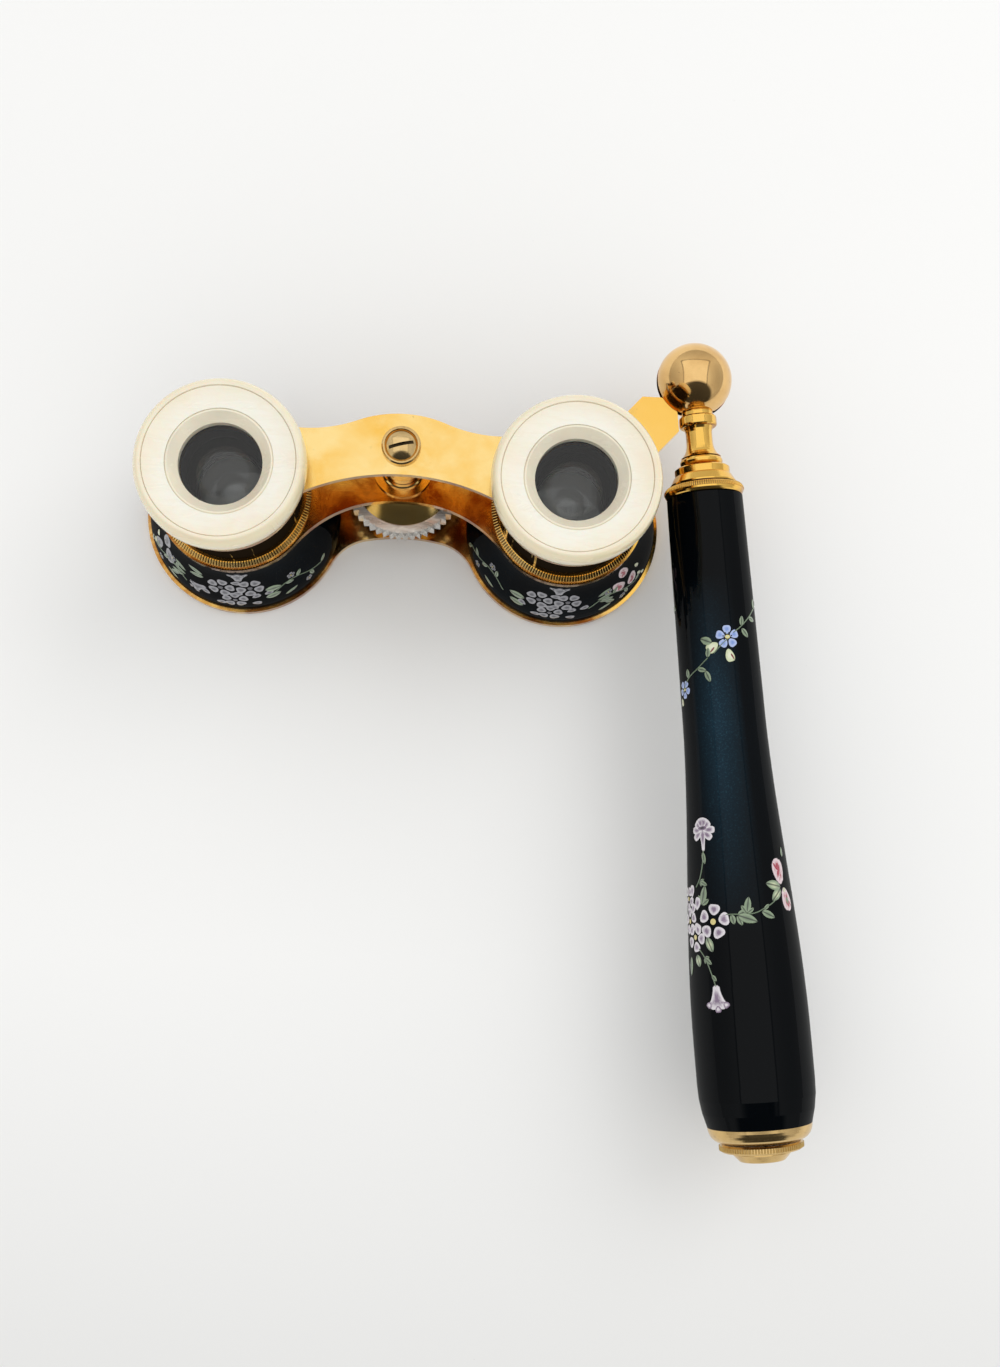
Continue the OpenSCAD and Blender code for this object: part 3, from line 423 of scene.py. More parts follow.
def draw_tube_material():
    """Painted reflection: a dark colour that stands in for the dark surroundings the tube reflects, with
    gilding in upright painted glints where bright reflections fall, most on the left side, and black in the
    bore.
    """
    metal = settings("metal")
    finish = Finish("worn_lacquer")
    reach = abs(middle("draw_tube_right").x)
    bore = bore_mask(finish)
    x = finish.split(finish.place)[0]
    west = finish.maths("SUBTRACT", x, finish.maths("MULTIPLY", finish.maths("SIGN", x), reach))
    left_reflection = finish.level(west, LEFT_REFLECTION_FROM, LEFT_REFLECTION_TO, 0.16, 0)
    glint_streaks = finish.noise(1, 4, 0.65, 0.2, finish.stretched((420, 420, 30)))
    # The gilt shown by this mask is a painted reflection, in upright glints and on the left side.
    worn = finish.level(finish.maths("ADD", glint_streaks, left_reflection), 0.62, 0.67)
    gilding = finish.blend(finish.level(finish.noise(500, 3, 0.6), 0.4, 0.7), metal.gilt_deep, metal.brass)
    tint = finish.blend(worn, metal.painted_reflection, gilding)
    return finish.done(
        Base_Color=finish.blend(bore, tint, BORE_BLACK),
        Metallic=finish.maths("MULTIPLY", finish.maths("SUBTRACT", 1.0, bore), worn),
        Roughness=finish.maths("MULTIPLY_ADD", bore, 0.3, finish.level(worn, 0, 1, 0.34, 0.16)),
        Specular_IOR_Level=0.0,
        Normal=brushed(finish, worn),
    )


def antique_material():
    metal = settings("metal")
    finish = Finish("antique_brass")
    cloud = finish.noise(160, 5, 0.6, 0.6)
    stain = finish.noise(48, 4, 0.65, 1.0)
    dirt = finish.level(finish.noise(700, 3, 0.7), 0.6, 0.78, 0, 0.7)
    tint = finish.blend(finish.level(stain, 0.48, 0.72, 0, 0.65), metal.brass, metal.tarnish)
    tint = finish.blend(finish.level(cloud, 0.4, 0.7, 0, 0.5), tint, (0.86, 0.62, 0.30))
    return finish.done(
        Base_Color=finish.blend(dirt, tint, metal.tarnish),
        Metallic=1.0,
        Roughness=finish.level(stain, 0.35, 0.7, 0.13, 0.32),
        Normal=brushed(finish, cloud, 0.10),
    )


def screw_material():
    """Old brass, with painted shade: black in the slot and on the upright walls round the head."""
    metal = settings("metal")
    finish = Finish("slotted_screw")
    cloud = finish.noise(260, 4, 0.6, 0.5)
    tint = finish.blend(finish.level(cloud, 0.35, 0.7), (0.90, 0.66, 0.34), metal.brass)
    up = finish.split(finish.facing)[2]
    z = finish.split(finish.place)[2]
    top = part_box("spindle_screw")[1].z
    level, low = finish.maths("GREATER_THAN", up, 0.995), finish.maths("LESS_THAN", z, top - SLOT_DEPTH)
    slot = finish.maths("MULTIPLY", level, low)
    wall = finish.maths("LESS_THAN", finish.maths("ABSOLUTE", up), 0.2)
    # This mask is painted shade in the slot and on the upright walls.
    dirt = finish.maths("MAXIMUM", slot, wall)
    return finish.done(
        Base_Color=finish.blend(finish.maths("MULTIPLY", dirt, 0.93), tint, (0.01, 0.006, 0.004)),
        Metallic=1.0,
        Roughness=finish.maths("MULTIPLY_ADD", dirt, 0.4, finish.level(cloud, 0.3, 0.7, 0.09, 0.18)),
        Normal=finish.bump(scratches(finish), 0.08, BRUSH_DEPTH),
    )


def steel_material():
    metal = settings("metal")
    finish = Finish("drawn_steel")
    lines = finish.noise(1, 3, 0.6, vector=finish.stretched((1800, 60, 1800)))
    return finish.done(
        Base_Color=finish.blend(lines, metal.steel, (0.42, 0.42, 0.42)),
        Metallic=1.0,
        Roughness=finish.level(lines, 0.3, 0.7, 0.2, 0.34),
        Normal=finish.bump(lines, 0.08, 0.01 * MM),
    )


def black_material():
    finish = Finish("blackened_brass")
    grain = finish.noise(1500, 3, 0.6)
    return finish.done(
        Base_Color=finish.blend(grain, (0.010, 0.010, 0.010), (0.035, 0.032, 0.030)),
        Roughness=finish.level(grain, 0.3, 0.7, 0.45, 0.7),
        Normal=finish.bump(grain, 0.15, BRUSH_DEPTH),
    )


def enamel_ground(finish, glow_share, coat):
    """Dark glass over an engraved ground that sends a little blue light back, as the material."""
    enamel = settings("enamel")
    sparkle = finish.noise(3000, 3, 0.75)
    glow = finish.blend(finish.level(sparkle, 0.52, 0.75, 0, 0.6), enamel.glow, (0.03, 0.11, 0.16))
    grain = finish.noise(2600, 2, 0.6)
    return finish.done(
        Base_Color=finish.blend(glow_share, enamel.ground, glow),
        Roughness=finish.level(grain, 0.3, 0.7, 0.40, 0.52),
        Coat_Weight=coat,
        Coat_Roughness=0.04,
        Coat_IOR=1.45,
        Specular_IOR_Level=0.0,
        Coat_Normal=finish.bump(finish.noise(80, 2, 0.4), 0.05, 0.3 * MM),
    )


def handle_enamel_material():
    """Painted sheen: the ground is painted glowing blue in a band along the middle of the handle, on one
    side of its top where the overhead light falls, and is nearly black at its ends.
    """
    enamel = settings("enamel")
    finish = Finish("handle_enamel")
    turn = -math.atan2(HANDLE_ALONG.y, HANDLE_ALONG.x)
    lying = {"Vector": finish.vector("SUBTRACT", finish.place, HANDLE_START), "Angle": turn}
    lined = finish.node("ShaderNodeVectorRotate", lying, rotation_type="Z_AXIS").outputs[0]
    along, across, high = finish.split(lined)
    angle = finish.maths("ARCTAN2", across, finish.maths("ABSOLUTE", high))
    aside = finish.maths("ABSOLUTE", finish.maths("ADD", angle, SHEEN_SIDE))
    # band and body mark the painted sheen, where the overhead light falls
    band = finish.level(aside, SHEEN_CORE, SHEEN_REACH, 1, 0.03)
    rise = finish.level(along, *(enamel.sheen_from + off for off in SHEEN_RISE))
    fall = finish.level(along, *(enamel.sheen_to + off for off in SHEEN_FALL), 1, 0)
    body = finish.maths("MULTIPLY", finish.maths("MULTIPLY", rise, fall), band)
    patchy = finish.level(finish.noise(90, 4, 0.65), 0.3, 0.7, 0.75, 1.0)
    painted_sheen = finish.maths("MULTIPLY_ADD", finish.maths("MULTIPLY", body, patchy), 0.97, 0.02)
    return enamel_ground(finish, painted_sheen, 0.26)


def barrel_enamel_material():
    finish = Finish("barrel_enamel")
    return enamel_ground(finish, finish.level(finish.noise(90, 3, 0.5), 0.35, 0.75, 0.0, 0.10), 0.13)


def pearl_material(name, first, second, third, edge, strength):
    """Polished shell: pale growth bands with a little pink and green in them. Painted shade: paler towards
    the insert and creamier, with stronger bands, towards the groove, as the dished face is lit, and the
    edge's darker colour painted on the rolled rim, where it turns from the light."""
    finish = Finish(name)
    reach = abs(middle("eyecup_right").x)
    x, y, _ = finish.split(finish.place)
    across = finish.maths("SUBTRACT", finish.maths("ABSOLUTE", x), reach)
    squares = finish.maths("MULTIPLY_ADD", across, across, finish.maths("MULTIPLY", y, y))
    radius = finish.maths("SQRT", squares)
    # Painted shade across the dished face: paler near the insert, creamier near the groove
    outward = finish.level(radius, SHELL_INNER, SHELL_ROLL, -0.22, 0.14)
    drift = finish.noise(45, 3, 0.5, 0.8)
    growth = (0.3, 0.5, 0.7)
    bands = finish.noise(1, 4, 0.55, 1.2, finish.stretched((60, 260, 170), growth))
    fine = finish.noise(1, 3, 0.6, 0.6, finish.stretched((300, 1500, 900), growth))
    tint = finish.blend(finish.level(finish.maths("SUBTRACT", drift, outward), 0.3, 0.7), first, second)
    banded = finish.level(finish.maths("ADD", bands, outward), 0.5, 0.8, 0, strength)
    tint = finish.blend(banded, tint, third)
    # Painted shade on the rolled rim
    tint = finish.blend(finish.level(radius, SHELL_ROLL, SHELL_OUTER), tint, edge)
    pink = finish.level(finish.noise(70, 2, 0.5, 1.5), 0.55, 0.75, 0, 0.35)
    turned = finish.stretched((1, 1, 1), (0.9, 0.4, 0))
    green = finish.level(finish.noise(95, 2, 0.5, 1.5, turned), 0.58, 0.78, 0, 0.3)
    tint = finish.blend(pink, tint, finish.blend(1.0, tint, (1.0, 0.87, 0.82), "MULTIPLY"))
    tint = finish.blend(green, tint, finish.blend(1.0, tint, (0.90, 1.0, 0.92), "MULTIPLY"))
    return finish.done(
        Base_Color=finish.blend(finish.level(fine, 0.45, 0.75, 0, 0.25), tint, third),
        Roughness=finish.level(bands, 0.3, 0.7, 0.18, 0.32),
        Subsurface_Weight=0.12,
        Subsurface_Scale=1.0 * MM,
        Coat_Weight=0.8,
        Coat_Roughness=0.06,
        Normal=finish.bump(finish.maths("MULTIPLY_ADD", fine, 0.5, bands), 0.06, 0.05 * MM),
    )


def rim_shell_material():
    """The wheel's rim is pearl backed with silver, so it has a metal's shine."""
    finish = Finish("wheel_shell")
    bands = finish.noise(1, 4, 0.6, 1.0, finish.stretched((220, 900, 500), (0.2, 0.3, 0.4)))
    tint = finish.blend(finish.level(bands, 0.35, 0.7), (0.90, 0.88, 0.84), (0.46, 0.43, 0.39))
    return finish.done(
        Base_Color=tint,
        Metallic=0.55,
        Roughness=finish.level(bands, 0.3, 0.7, 0.12, 0.32),
        Coat_Weight=0.6,
        Coat_Roughness=0.06,
        Normal=finish.bump(bands, 0.12, 0.05 * MM),
    )


def glass_material():
    finish = Finish("optical_glass")
    dust = finish.level(finish.noise(1400, 3, 0.7), 0.66, 0.8, 0.0, 0.10)
    return finish.done(
        Base_Color=(0.93, 0.95, 0.95),
        Roughness=dust,
        Transmission_Weight=1.0,
        IOR=1.52,
    )


def paint_material():
    """Painted enamel: two tints, a dark edge line, a vein and brush marks along each petal."""
    finish = Finish("flower_paint")
    along, across, rim = finish.split(finish.attribute("spot", "Vector"))
    inner, outer = finish.attribute("inner_tint"), finish.attribute("outer_tint")
    vein = finish.attribute("vein", "Fac")
    lengthwise = {0: finish.maths("MULTIPLY", along, 2.0), 1: finish.maths("MULTIPLY", across, 9.0)}
    brush = finish.node("ShaderNodeCombineXYZ", lengthwise).outputs[0]
    varied = finish.vector("ADD", brush, finish.scaled(finish.place, 400.0))
    strokes = finish.noise(1.3, 3, 0.6, 0.3, varied)
    ragged = finish.maths("ADD", rim, finish.level(strokes, 0.3, 0.7, -0.16, 0.16))
    tint = finish.blend(finish.level(ragged, 0.25, 0.72), inner, outer)
    dusky = finish.blend(1.0, tint, (0.55, 0.55, 0.60), "MULTIPLY")
    tint = finish.blend(finish.level(strokes, 0.55, 0.8, 0, 0.45), tint, dusky)
    narrow = finish.level(finish.maths("ABSOLUTE", across), 0.04, 0.11, 1, 0)
    midrib = finish.maths("MULTIPLY", narrow, vein)
    tint = finish.blend(finish.maths("MULTIPLY", midrib, 0.8), tint, (0.01, 0.015, 0.01))
    line = finish.level(rim, 0.90, 0.97)
    return finish.done(
        Base_Color=finish.blend(line, tint, (0.008, 0.008, 0.012)),
        Roughness=finish.level(strokes, 0.3, 0.7, 0.28, 0.42),
        Coat_Weight=0.7,
        Coat_Roughness=0.05,
        Normal=finish.bump(strokes, 0.15, 0.03 * MM),
    )


# ---------------------------------------------------------------- geometry nodes


class Tree(Nodes):
    """A new geometry node tree that takes a mesh and named inputs."""

    def __init__(self, name, inputs):
        super().__init__(bpy.data.node_groups.new(name, "GeometryNodeTree"))
        self.ids = {}
        for label, kind in {"Geometry": "Geometry", **inputs}.items():
            self.ids[label] = self.socket(label, "INPUT", kind).identifier
        self.socket("Geometry", "OUTPUT", "Geometry")
        self.given = self.node("NodeGroupInput").outputs

    def socket(self, label, way, kind):
        return self.tree.interface.new_socket(label, in_out=way, socket_type="NodeSocket" + kind)

    def swept(self, curve, radius):
        """A round bar along a curve, closed at its ends."""
        section = {"Resolution": 6, "Radius": radius}
        circle = self.node("GeometryNodeCurvePrimitiveCircle", section).outputs[0]
        values = {"Curve": curve, "Profile Curve": circle, "Fill Caps": True}
        return self.node("GeometryNodeCurveToMesh", values).outputs[0]

    def close(self, geometry):
        """Ends the tree in Realize Instances and Set Material."""
        real = self.node("GeometryNodeRealizeInstances", {"Geometry": geometry}).outputs[0]
        values = {"Geometry": real, "Material": self.given["Material"]}
        painted = self.node("GeometryNodeSetMaterial", values).outputs[0]
        self.node("NodeGroupOutput", {"Geometry": painted}).is_active_output = True

    def build(self, name, source, **values):
        """The tree's result on a source mesh, as a plain mesh object at the origin."""
        holder = bpy.data.objects.new(name + "_holder", source)
        bpy.context.scene.collection.objects.link(holder)
        modifier = holder.modifiers.new("shape", "NODES")
        modifier.node_group = self.tree
        for label, value in values.items():
            modifier[self.ids[label.replace("_", " ")]] = value
        bpy.context.view_layer.update()
        graph = bpy.context.evaluated_depsgraph_get()
        mesh = bpy.data.meshes.new_from_object(holder.evaluated_get(graph), depsgraph=graph)
        holder.modifiers.remove(modifier)
        bpy.data.objects.remove(holder)
        if not mesh.polygons:
            raise RuntimeError(f"{name} came out empty")
        mesh.name = name
        made = bpy.data.objects.new(name, mesh)
        bpy.context.scene.collection.objects.link(made)
        return made


def rib_tree():
    """Ribs swept along the source's line, which lies in the XZ plane, and spaced evenly round Z."""
    tree = Tree("milled_ribs", {"Ribs": "Int", "Width": "Float", "Material": "Material"})
    line = tree.node("GeometryNodeMeshToCurve", {"Mesh": tree.given["Geometry"]}).outputs[0]
    rib = tree.swept(line, tree.given["Width"])
    row = {"Count": tree.given["Ribs"], "Offset": (0, 0, 0)}
    points = tree.node("GeometryNodeMeshLine", row).outputs[0]
    step = tree.maths("DIVIDE", 2 * math.pi, tree.given["Ribs"])
    angle = tree.maths("MULTIPLY", tree.node("GeometryNodeInputIndex").outputs[0], step)
    way = tree.node("ShaderNodeCombineXYZ", {2: angle})
    copies = {"Points": points, "Instance": rib, "Rotation": way.outputs[0]}
    tree.close(tree.node("GeometryNodeInstanceOnPoints", copies).outputs[0])
    return tree


SHAPES = ("petal", "leaf", "bell", "dot")


def spray_tree():
    """Petals, leaves, bells and dots set on the source's points, and stems swept along its edges."""
    inputs = dict.fromkeys(SHAPES, "Object")
    inputs |= {"Stem Radius": "Float", "Stem Step": "Float", "Material": "Material"}
    tree = Tree("painted_spray", inputs)
    source = tree.given["Geometry"]

    def named(name, kind):
        made = tree.node("GeometryNodeInputNamedAttribute", {"Name": name}, data_type=kind)
        return made.outputs["Attribute"]

    branches = []
    for number, shape in enumerate(SHAPES):
        pair = {2: named("kind", "INT"), 3: number}
        chosen = tree.node("FunctionNodeCompare", pair, data_type="INT", operation="EQUAL")
        drawn = tree.node("GeometryNodeObjectInfo", {"Object": tree.given[shape]}).outputs["Geometry"]
        values = {
            "Points": source,
            "Selection": chosen.outputs[0],
            "Instance": drawn,
            "Rotation": named("turn", "FLOAT_VECTOR"),
            "Scale": named("size", "FLOAT_VECTOR"),
        }
        branches.append(tree.node("GeometryNodeInstanceOnPoints", values).outputs[0])
    line = tree.node("GeometryNodeMeshToCurve", {"Mesh": source}).outputs[0]
    smooth = tree.node("GeometryNodeCurveSplineType", {"Curve": line}, spline_type="CATMULL_ROM").outputs[0]
    parts = {"Curve": smooth, "Length": tree.given["Stem Step"]}
    even = tree.node("GeometryNodeResampleCurve", parts, mode="LENGTH").outputs[0]
    stems = tree.swept(even, tree.given["Stem Radius"])
    joined = tree.node("GeometryNodeJoinGeometry")
    for branch in [stems, *reversed(branches)]:
        tree.tree.links.new(branch, joined.inputs[0])
    tree.close(joined.outputs[0])
    return tree


# ---------------------------------------------------------------- painted flowers


def petal_outline(t):
    x = 0.5 - 0.5 * math.cos(t)
    notch = 0.07 * math.exp(-(((t - math.pi) / 0.3) ** 2))
    return x - notch, 0.5 * math.sin(t) * (0.62 + 0.50 * x)


def leaf_outline(t):
    x = 0.5 - 0.5 * math.cos(t)
    y = 0.5 * math.copysign(abs(math.sin(t)) ** 1.5, math.sin(t))
    return x, y * (1.12 - 0.3 * x)


def bell_outline(t):
    x = 0.5 - 0.5 * math.cos(t)
    flare = 0.13 + 0.37 * x**2.2
    frill = 0.05 * math.cos(5 * (t - math.pi)) * x**3
    return x + frill, flare * math.copysign(min(1.0, abs(math.sin(t)) * 2.2), math.sin(t))


def dot_outline(t):
    return 0.5 * math.cos(t), 0.5 * math.sin(t)


OUTLINES = {"petal": petal_outline, "leaf": leaf_outline, "bell": bell_outline, "dot": dot_outline}
HEARTS = {"petal": 0.5, "leaf": 0.5, "bell": 0.62, "dot": 0.0}
CORNERS = 16
RING_SHARE = (0.5, 0.88, 1.0)
RING_HEIGHT = (0.95, 0.65, -0.6)


def shape_object(shape):
    """A low dome inside one outline, closed underneath, which records where each corner lies."""
    corners = CORNERS
    outline = [OUTLINES[shape](2 * math.pi * (k + 0.5) / corners) for k in range(corners)]
    heart = HEARTS[shape]
    points, spots = [(heart, 0, 1)], [(heart, 0, 0)]
    for part, height in zip(RING_SHARE, RING_HEIGHT):
        for x, y in outline:
            points.append((heart + (x - heart) * part, y * part, height))
            spots.append((heart + (x - heart) * part, y * part, part))
    faces = []
    for k in range(corners):
        after = (k + 1) % corners
        faces.append((0, 1 + k, 1 + after))
        for ring in range(len(RING_SHARE) - 1):
            low, high = 1 + ring * corners, 1 + (ring + 1) * corners
            faces.append((low + k, high + k, high + after, low + after))
    last = 1 + (len(RING_SHARE) - 1) * corners
    faces.append(tuple(last + k for k in reversed(range(corners))))
    mesh = bpy.data.meshes.new(shape)
    mesh.from_pydata(points, [], faces)
    if sum(p.normal.z * p.area for p in mesh.polygons[:corners]) < 0:
        mesh.flip_normals()
    mesh.polygons.foreach_set("use_smooth", [True] * len(mesh.polygons))
    noted = mesh.attributes.new("spot", "FLOAT_VECTOR", "POINT")
    noted.data.foreach_set("vector", np.array(spots, np.float32).ravel())
    made = bpy.data.objects.new(shape, mesh)
    bpy.context.scene.collection.objects.link(made)
    return made


class Skin:
    """A turned surface: a list of (radius, distance along the axis) from one end to the other."""

    def __init__(self, start, axis, zero, side, profile):
        self.start, self.axis = np.array(start), np.array(axis)
        self.zero, self.side = np.array(zero), np.array(side)
        self.radius, self.along = np.array(profile).T
        steps = np.hypot(np.diff(self.radius), np.diff(self.along))
        self.length = np.concatenate([[0], np.cumsum(steps)])
        self.mean = float(self.radius.mean())

    def distance(self, along):
        """Distance along the surface of a place given by its distance along the axis."""
        return float(np.interp(along, self.along, self.length))

    def radius_at(self, distance):
        return np.interp(distance, self.length, self.radius)

    def along_at(self, distance):
        return np.interp(distance, self.length, self.along)

    def wrap(self, distance, angle, height):
        """Points on the surface, raised by height along its normal."""
        small = 0.05 * MM
        radius, along = self.radius_at(distance), self.along_at(distance)
        rise = self.radius_at(distance + small) - self.radius_at(distance - small)
        run = self.along_at(distance + small) - self.along_at(distance - small)
        slope = np.arctan2(rise, run)
        out = np.cos(angle)[:, None] * self.zero + np.sin(angle)[:, None] * self.side
        reach = (radius + height * np.cos(slope))[:, None]
        return self.start + out * reach + self.axis * (along - height * np.sin(slope))[:, None]


ROW_HEIGHT = 0.05 * MM  # corners closer than this along the axis are one row
BAND_STEP = 0.02 * MM  # rows whose radii differ by less than this make up one band
BORE_STEP = 0.3 * MM  # a row that drops further than this below its neighbours is the bore's


def profile_of(node, start, axis):
    """Outer profile of a turned node, read from its mesh: the widest corner in each row, without
    the rows that hold only corners of the bore."""
    rel = read(frame["nodes"][node].data.vertices, "co") - np.array(start)
    along = rel @ np.array(axis)
    radius = np.linalg.norm(rel - along[:, None] * np.array(axis), axis=1)
    rows = []
    for a, r in sorted(zip(along.tolist(), radius.tolist())):
        if rows and a - rows[-1][1] < ROW_HEIGHT:
            rows[-1] = (max(rows[-1][0], r), rows[-1][1])
        else:
            rows.append((r, a))
    kept = []
    for k, (r, a) in enumerate(rows):
        before = kept[-1][0] if kept else r
        after = max([wide for wide, _ in rows[k + 1 : k + 3]], default=r)
        if r > min(before, after) - BORE_STEP:
            kept.append((r, a))
    return kept


def milled_path(profile, reach):
    """The part of a ring's profile that is milled: its widest band, and the share reach of
    what slopes off beyond it (behind it, where reach is negative)."""
    widest = max(r for r, _ in profile) - BAND_STEP
    band = [k for k, (r, _) in enumerate(profile) if r > widest]
    if reach > 0:
        edge, far = profile[band[-1]], profile[-1]
        return [edge, (edge[0] + (far[0] - edge[0]) * reach, edge[1] + (far[1] - edge[1]) * reach)]
    if reach < 0:
        low = profile[0][1] + (profile[band[0]][1] - profile[0][1]) * (1 + reach)
        return [(r, a) for r, a in profile[: band[-1] + 1] if a >= low]
    return [profile[band[0]], profile[band[-1]]]


def handle_skin():
    profile = profile_of("grip_enamel", HANDLE_START, HANDLE_ALONG)
    return Skin(HANDLE_START, HANDLE_ALONG, UP, HANDLE_RIGHT, profile)


def barrel_skin(side):
    node = "enamel_sleeve_" + side
    foot = foot_of(node)
    return Skin(foot, UP, (1, 0, 0), (0, 1, 0), profile_of(node, foot, UP))


FIELDS = {
    "kind": ("INT", "value"),
    "turn": ("FLOAT_VECTOR", "vector"),
    "size": ("FLOAT_VECTOR", "vector"),
    "home": ("FLOAT_VECTOR", "vector"),
    "inner_tint": ("FLOAT_COLOR", "color"),
    "outer_tint": ("FLOAT_COLOR", "color"),
    "vein": ("FLOAT", "value"),
}
LAYERS, LAYER = 12, 0.006 * MM  # marks that overlap lie at this many heights, this far apart
STEM_STEP = 0.4 * MM
TOP_HEIGHT = 0.12 * MM  # nothing painted stands higher than this
NAVY = (0.005, 0.005, 0.01)


class Spray:
    """Marks and stems on a skin. Places are millimetres along the axis and degrees round it."""

    def __init__(self, skin, shift=0.0):
        self.skin, self.shift = skin, shift
        self.marks, self.stems = [], []
        self.paint = settings("flowers")
        self.lift = 0

    def mark(self, shape, along, angle, turn, length, width, inner, outer, vein=0.0, off=0.0):
        """One shape that points in the direction turn, set off from its place in that direction."""
        distance = self.skin.distance(along * MM)
        way = math.radians(turn)
        radius = float(self.skin.radius_at(distance))
        distance += off * MM * math.cos(way)
        place = math.radians(angle + self.shift) + off * MM * math.sin(way) / radius
        self.lift += 1
        height = (self.lift % LAYERS) * LAYER
        size = (length * MM, width * MM, self.paint.paint)
        self.marks.append((SHAPES.index(shape), distance, place, height, way, size, inner, outer, vein))

    def leaf(self, along, angle, turn, length, width, pale=False):
        p = self.paint
        inner, outer = (p.bud, p.leaf_pale) if pale else (p.leaf, p.leaf_pale)
        self.mark("leaf", along, angle, turn, length, width, inner, outer, vein=1.0)

    def ring(self, shape, along, angle, start, number, length, width, inner, outer, off):
        """Marks spaced evenly round one place."""
        for k in range(number):
            turn = start + round(360 / number, 1) * k
            self.mark(shape, along, angle, turn, length, width, inner, outer, off=off)

    def blossom(self, along, angle, reach, start, inner=None, outer=None, heart=None, reach_share=0.72):
        p = self.paint
        inner, outer, heart = inner or p.lilac, outer or p.white, heart or p.yellow
        self.lift = 0
        long, wide, off = reach * reach_share, reach * 0.84, reach * (0.98 - reach_share)
        self.ring("petal", along, angle, start, 5, long, wide, inner, outer, off)
        self.mark("dot", along, angle, 0, reach * 0.36, reach * 0.36, heart, heart)

    def blue_flower(self, along, angle, reach, start):
        p = self.paint
        long, wide, off = reach * 0.78, reach * 0.80, reach * 0.20
        self.ring("petal", along, angle, start, 5, long, wide, p.blue, p.blue_edge, off)
        long, wide, off = reach * 0.14, reach * 0.12, reach * 0.34
        self.ring("dot", along, angle, 0, 7, long, wide, NAVY, NAVY, off)
        self.mark("dot", along, angle, 0, reach * 0.34, reach * 0.44, p.bud, p.yellow)

    def bud(self, along, angle, turn, length, width):
        p = self.paint
        self.mark("petal", along, angle, turn, length, width, p.bud_foot, p.bud)
        long, wide, off = length * 0.62, width * 0.22, length * 0.28
        self.mark("leaf", along, angle, turn + 14, long, wide, p.red_brown, p.red_brown, off=off)

    def trumpet(self, along, angle, turn, size):
        """A flower seen from the side: a narrow tube, the petals of its lip and its dark mouth."""
        p = self.paint
        self.lift = 0
        self.mark("bell", along, angle, turn, size * 0.72, size * 0.42, p.lilac, p.white)
        curled = ((-132, 0.42), (126, 0.44), (-92, 0.44), (88, 0.42))
        lip = [(0.62, lean, long, 0.25) for lean, long in curled]
        lip += [(0.66, lean, 0.34, 0.30) for lean in (-54, 52, -18, 17)]
        for reach, lean, long, wide in lip:
            place = self.moved(along, angle, turn, size * reach)
            self.mark("petal", *place, turn + lean, size * long, size * wide, p.lilac, p.white)
        self.mark("dot", along, angle, turn, size * 0.13, size * 0.34, p.mouth, p.lilac, off=size * 0.68)

    def skirt(self, along, angle, turn, size, width, inner, outer):
        """A wide bell flower seen from the side, its rim drawn out into points."""
        self.lift = 0
        for lean in (-66, 62):
            place = self.moved(along, angle, turn, size * 0.62)
            self.mark("leaf", *place, turn + lean, width * 0.46, size * 0.24, inner, outer)
        self.mark("bell", along, angle, turn, size, width, inner, outer)
        for lean, reach in ((-40, 0.74), (36, 0.74), (0, 0.84)):
            place = self.moved(along, angle, turn + lean * 0.5, size * reach)
            self.mark("petal", *place, turn + lean, size * 0.30, width * 0.26, outer, inner)

    def moved(self, along, angle, turn, reach):
        """A place a distance reach from another, in the direction turn."""
        way = math.radians(turn)
        aside = math.degrees(reach * MM * math.sin(way) / self.skin.mean)
        return along + reach * math.cos(way), angle + aside

    def rose(self, along, angle, turn, size, deep=None, edge=None):
        """A half-open rose: pale petals folded round one another, with deep pink between."""
        p = self.paint
        deep, edge = deep or p.rose, edge or p.blush
        self.lift = 0
        parts = [("petal", 0, 1, 0.72, -0.5, edge)]
        for lean, off, wide in ((26, -0.42, 0.40), (-26, -0.40, 0.40), (6, -0.20, 0.42)):
            parts.append(("petal", lean, 0.72, wide, off, edge))
        parts += [("leaf", 34, 0.46, 0.13, -0.05, deep), ("leaf", -28, 0.50, 0.14, -0.22, deep)]
        parts.append(("dot", 0, 0.16, 0.14, 0.22, deep))
        for shape, lean, long, wide, off, rim in parts:
            place = (along, angle, turn + lean)
            self.mark(shape, *place, size * long, size * wide, deep, rim, off=size * off)

    def lobed(self, along, angle, turn, size):
        """A broad leaf with a lobe on either side."""
        self.leaf(along, angle, turn, size, size * 0.46)
        self.leaf(along, angle, turn + 42, size * 0.58, size * 0.30)
        self.leaf(along, angle, turn - 46, size * 0.55, size * 0.28)

    def stem(self, *places):
        self.stems.append([(self.skin.distance(a * MM), math.radians(g + self.shift)) for a, g in places])

    def sprig(self, places, leaf):
        """A stem with leaves in turn on either side of it."""
        self.stem(*places)
        for k in range(1, len(places)):
            (a0, g0), (a1, g1) = places[k - 1], places[k]
            run = math.radians(g1 - g0) * self.skin.mean / MM
            way = math.degrees(math.atan2(run, a1 - a0))
            side = 48 if k % 2 else -48
            self.leaf(a1, g1, way + side, leaf, leaf * 0.52)

    def source(self):
        """The layout as a flat mesh whose points carry each mark's shape, direction, size and tints."""
        columns = {name: [] for name in FIELDS}
        points, edges = [], []

        def add(kind, distance, angle, height, way, size, inner, outer, vein):
            points.append((distance, angle * self.skin.mean, height))
            home, tints = (distance, angle, 0), ((*inner[:3], 1), (*outer[:3], 1))
            values = (kind, (0, 0, way), size, home, *tints, vein)
            for name, value in zip(columns, values):
                columns[name].append(value)

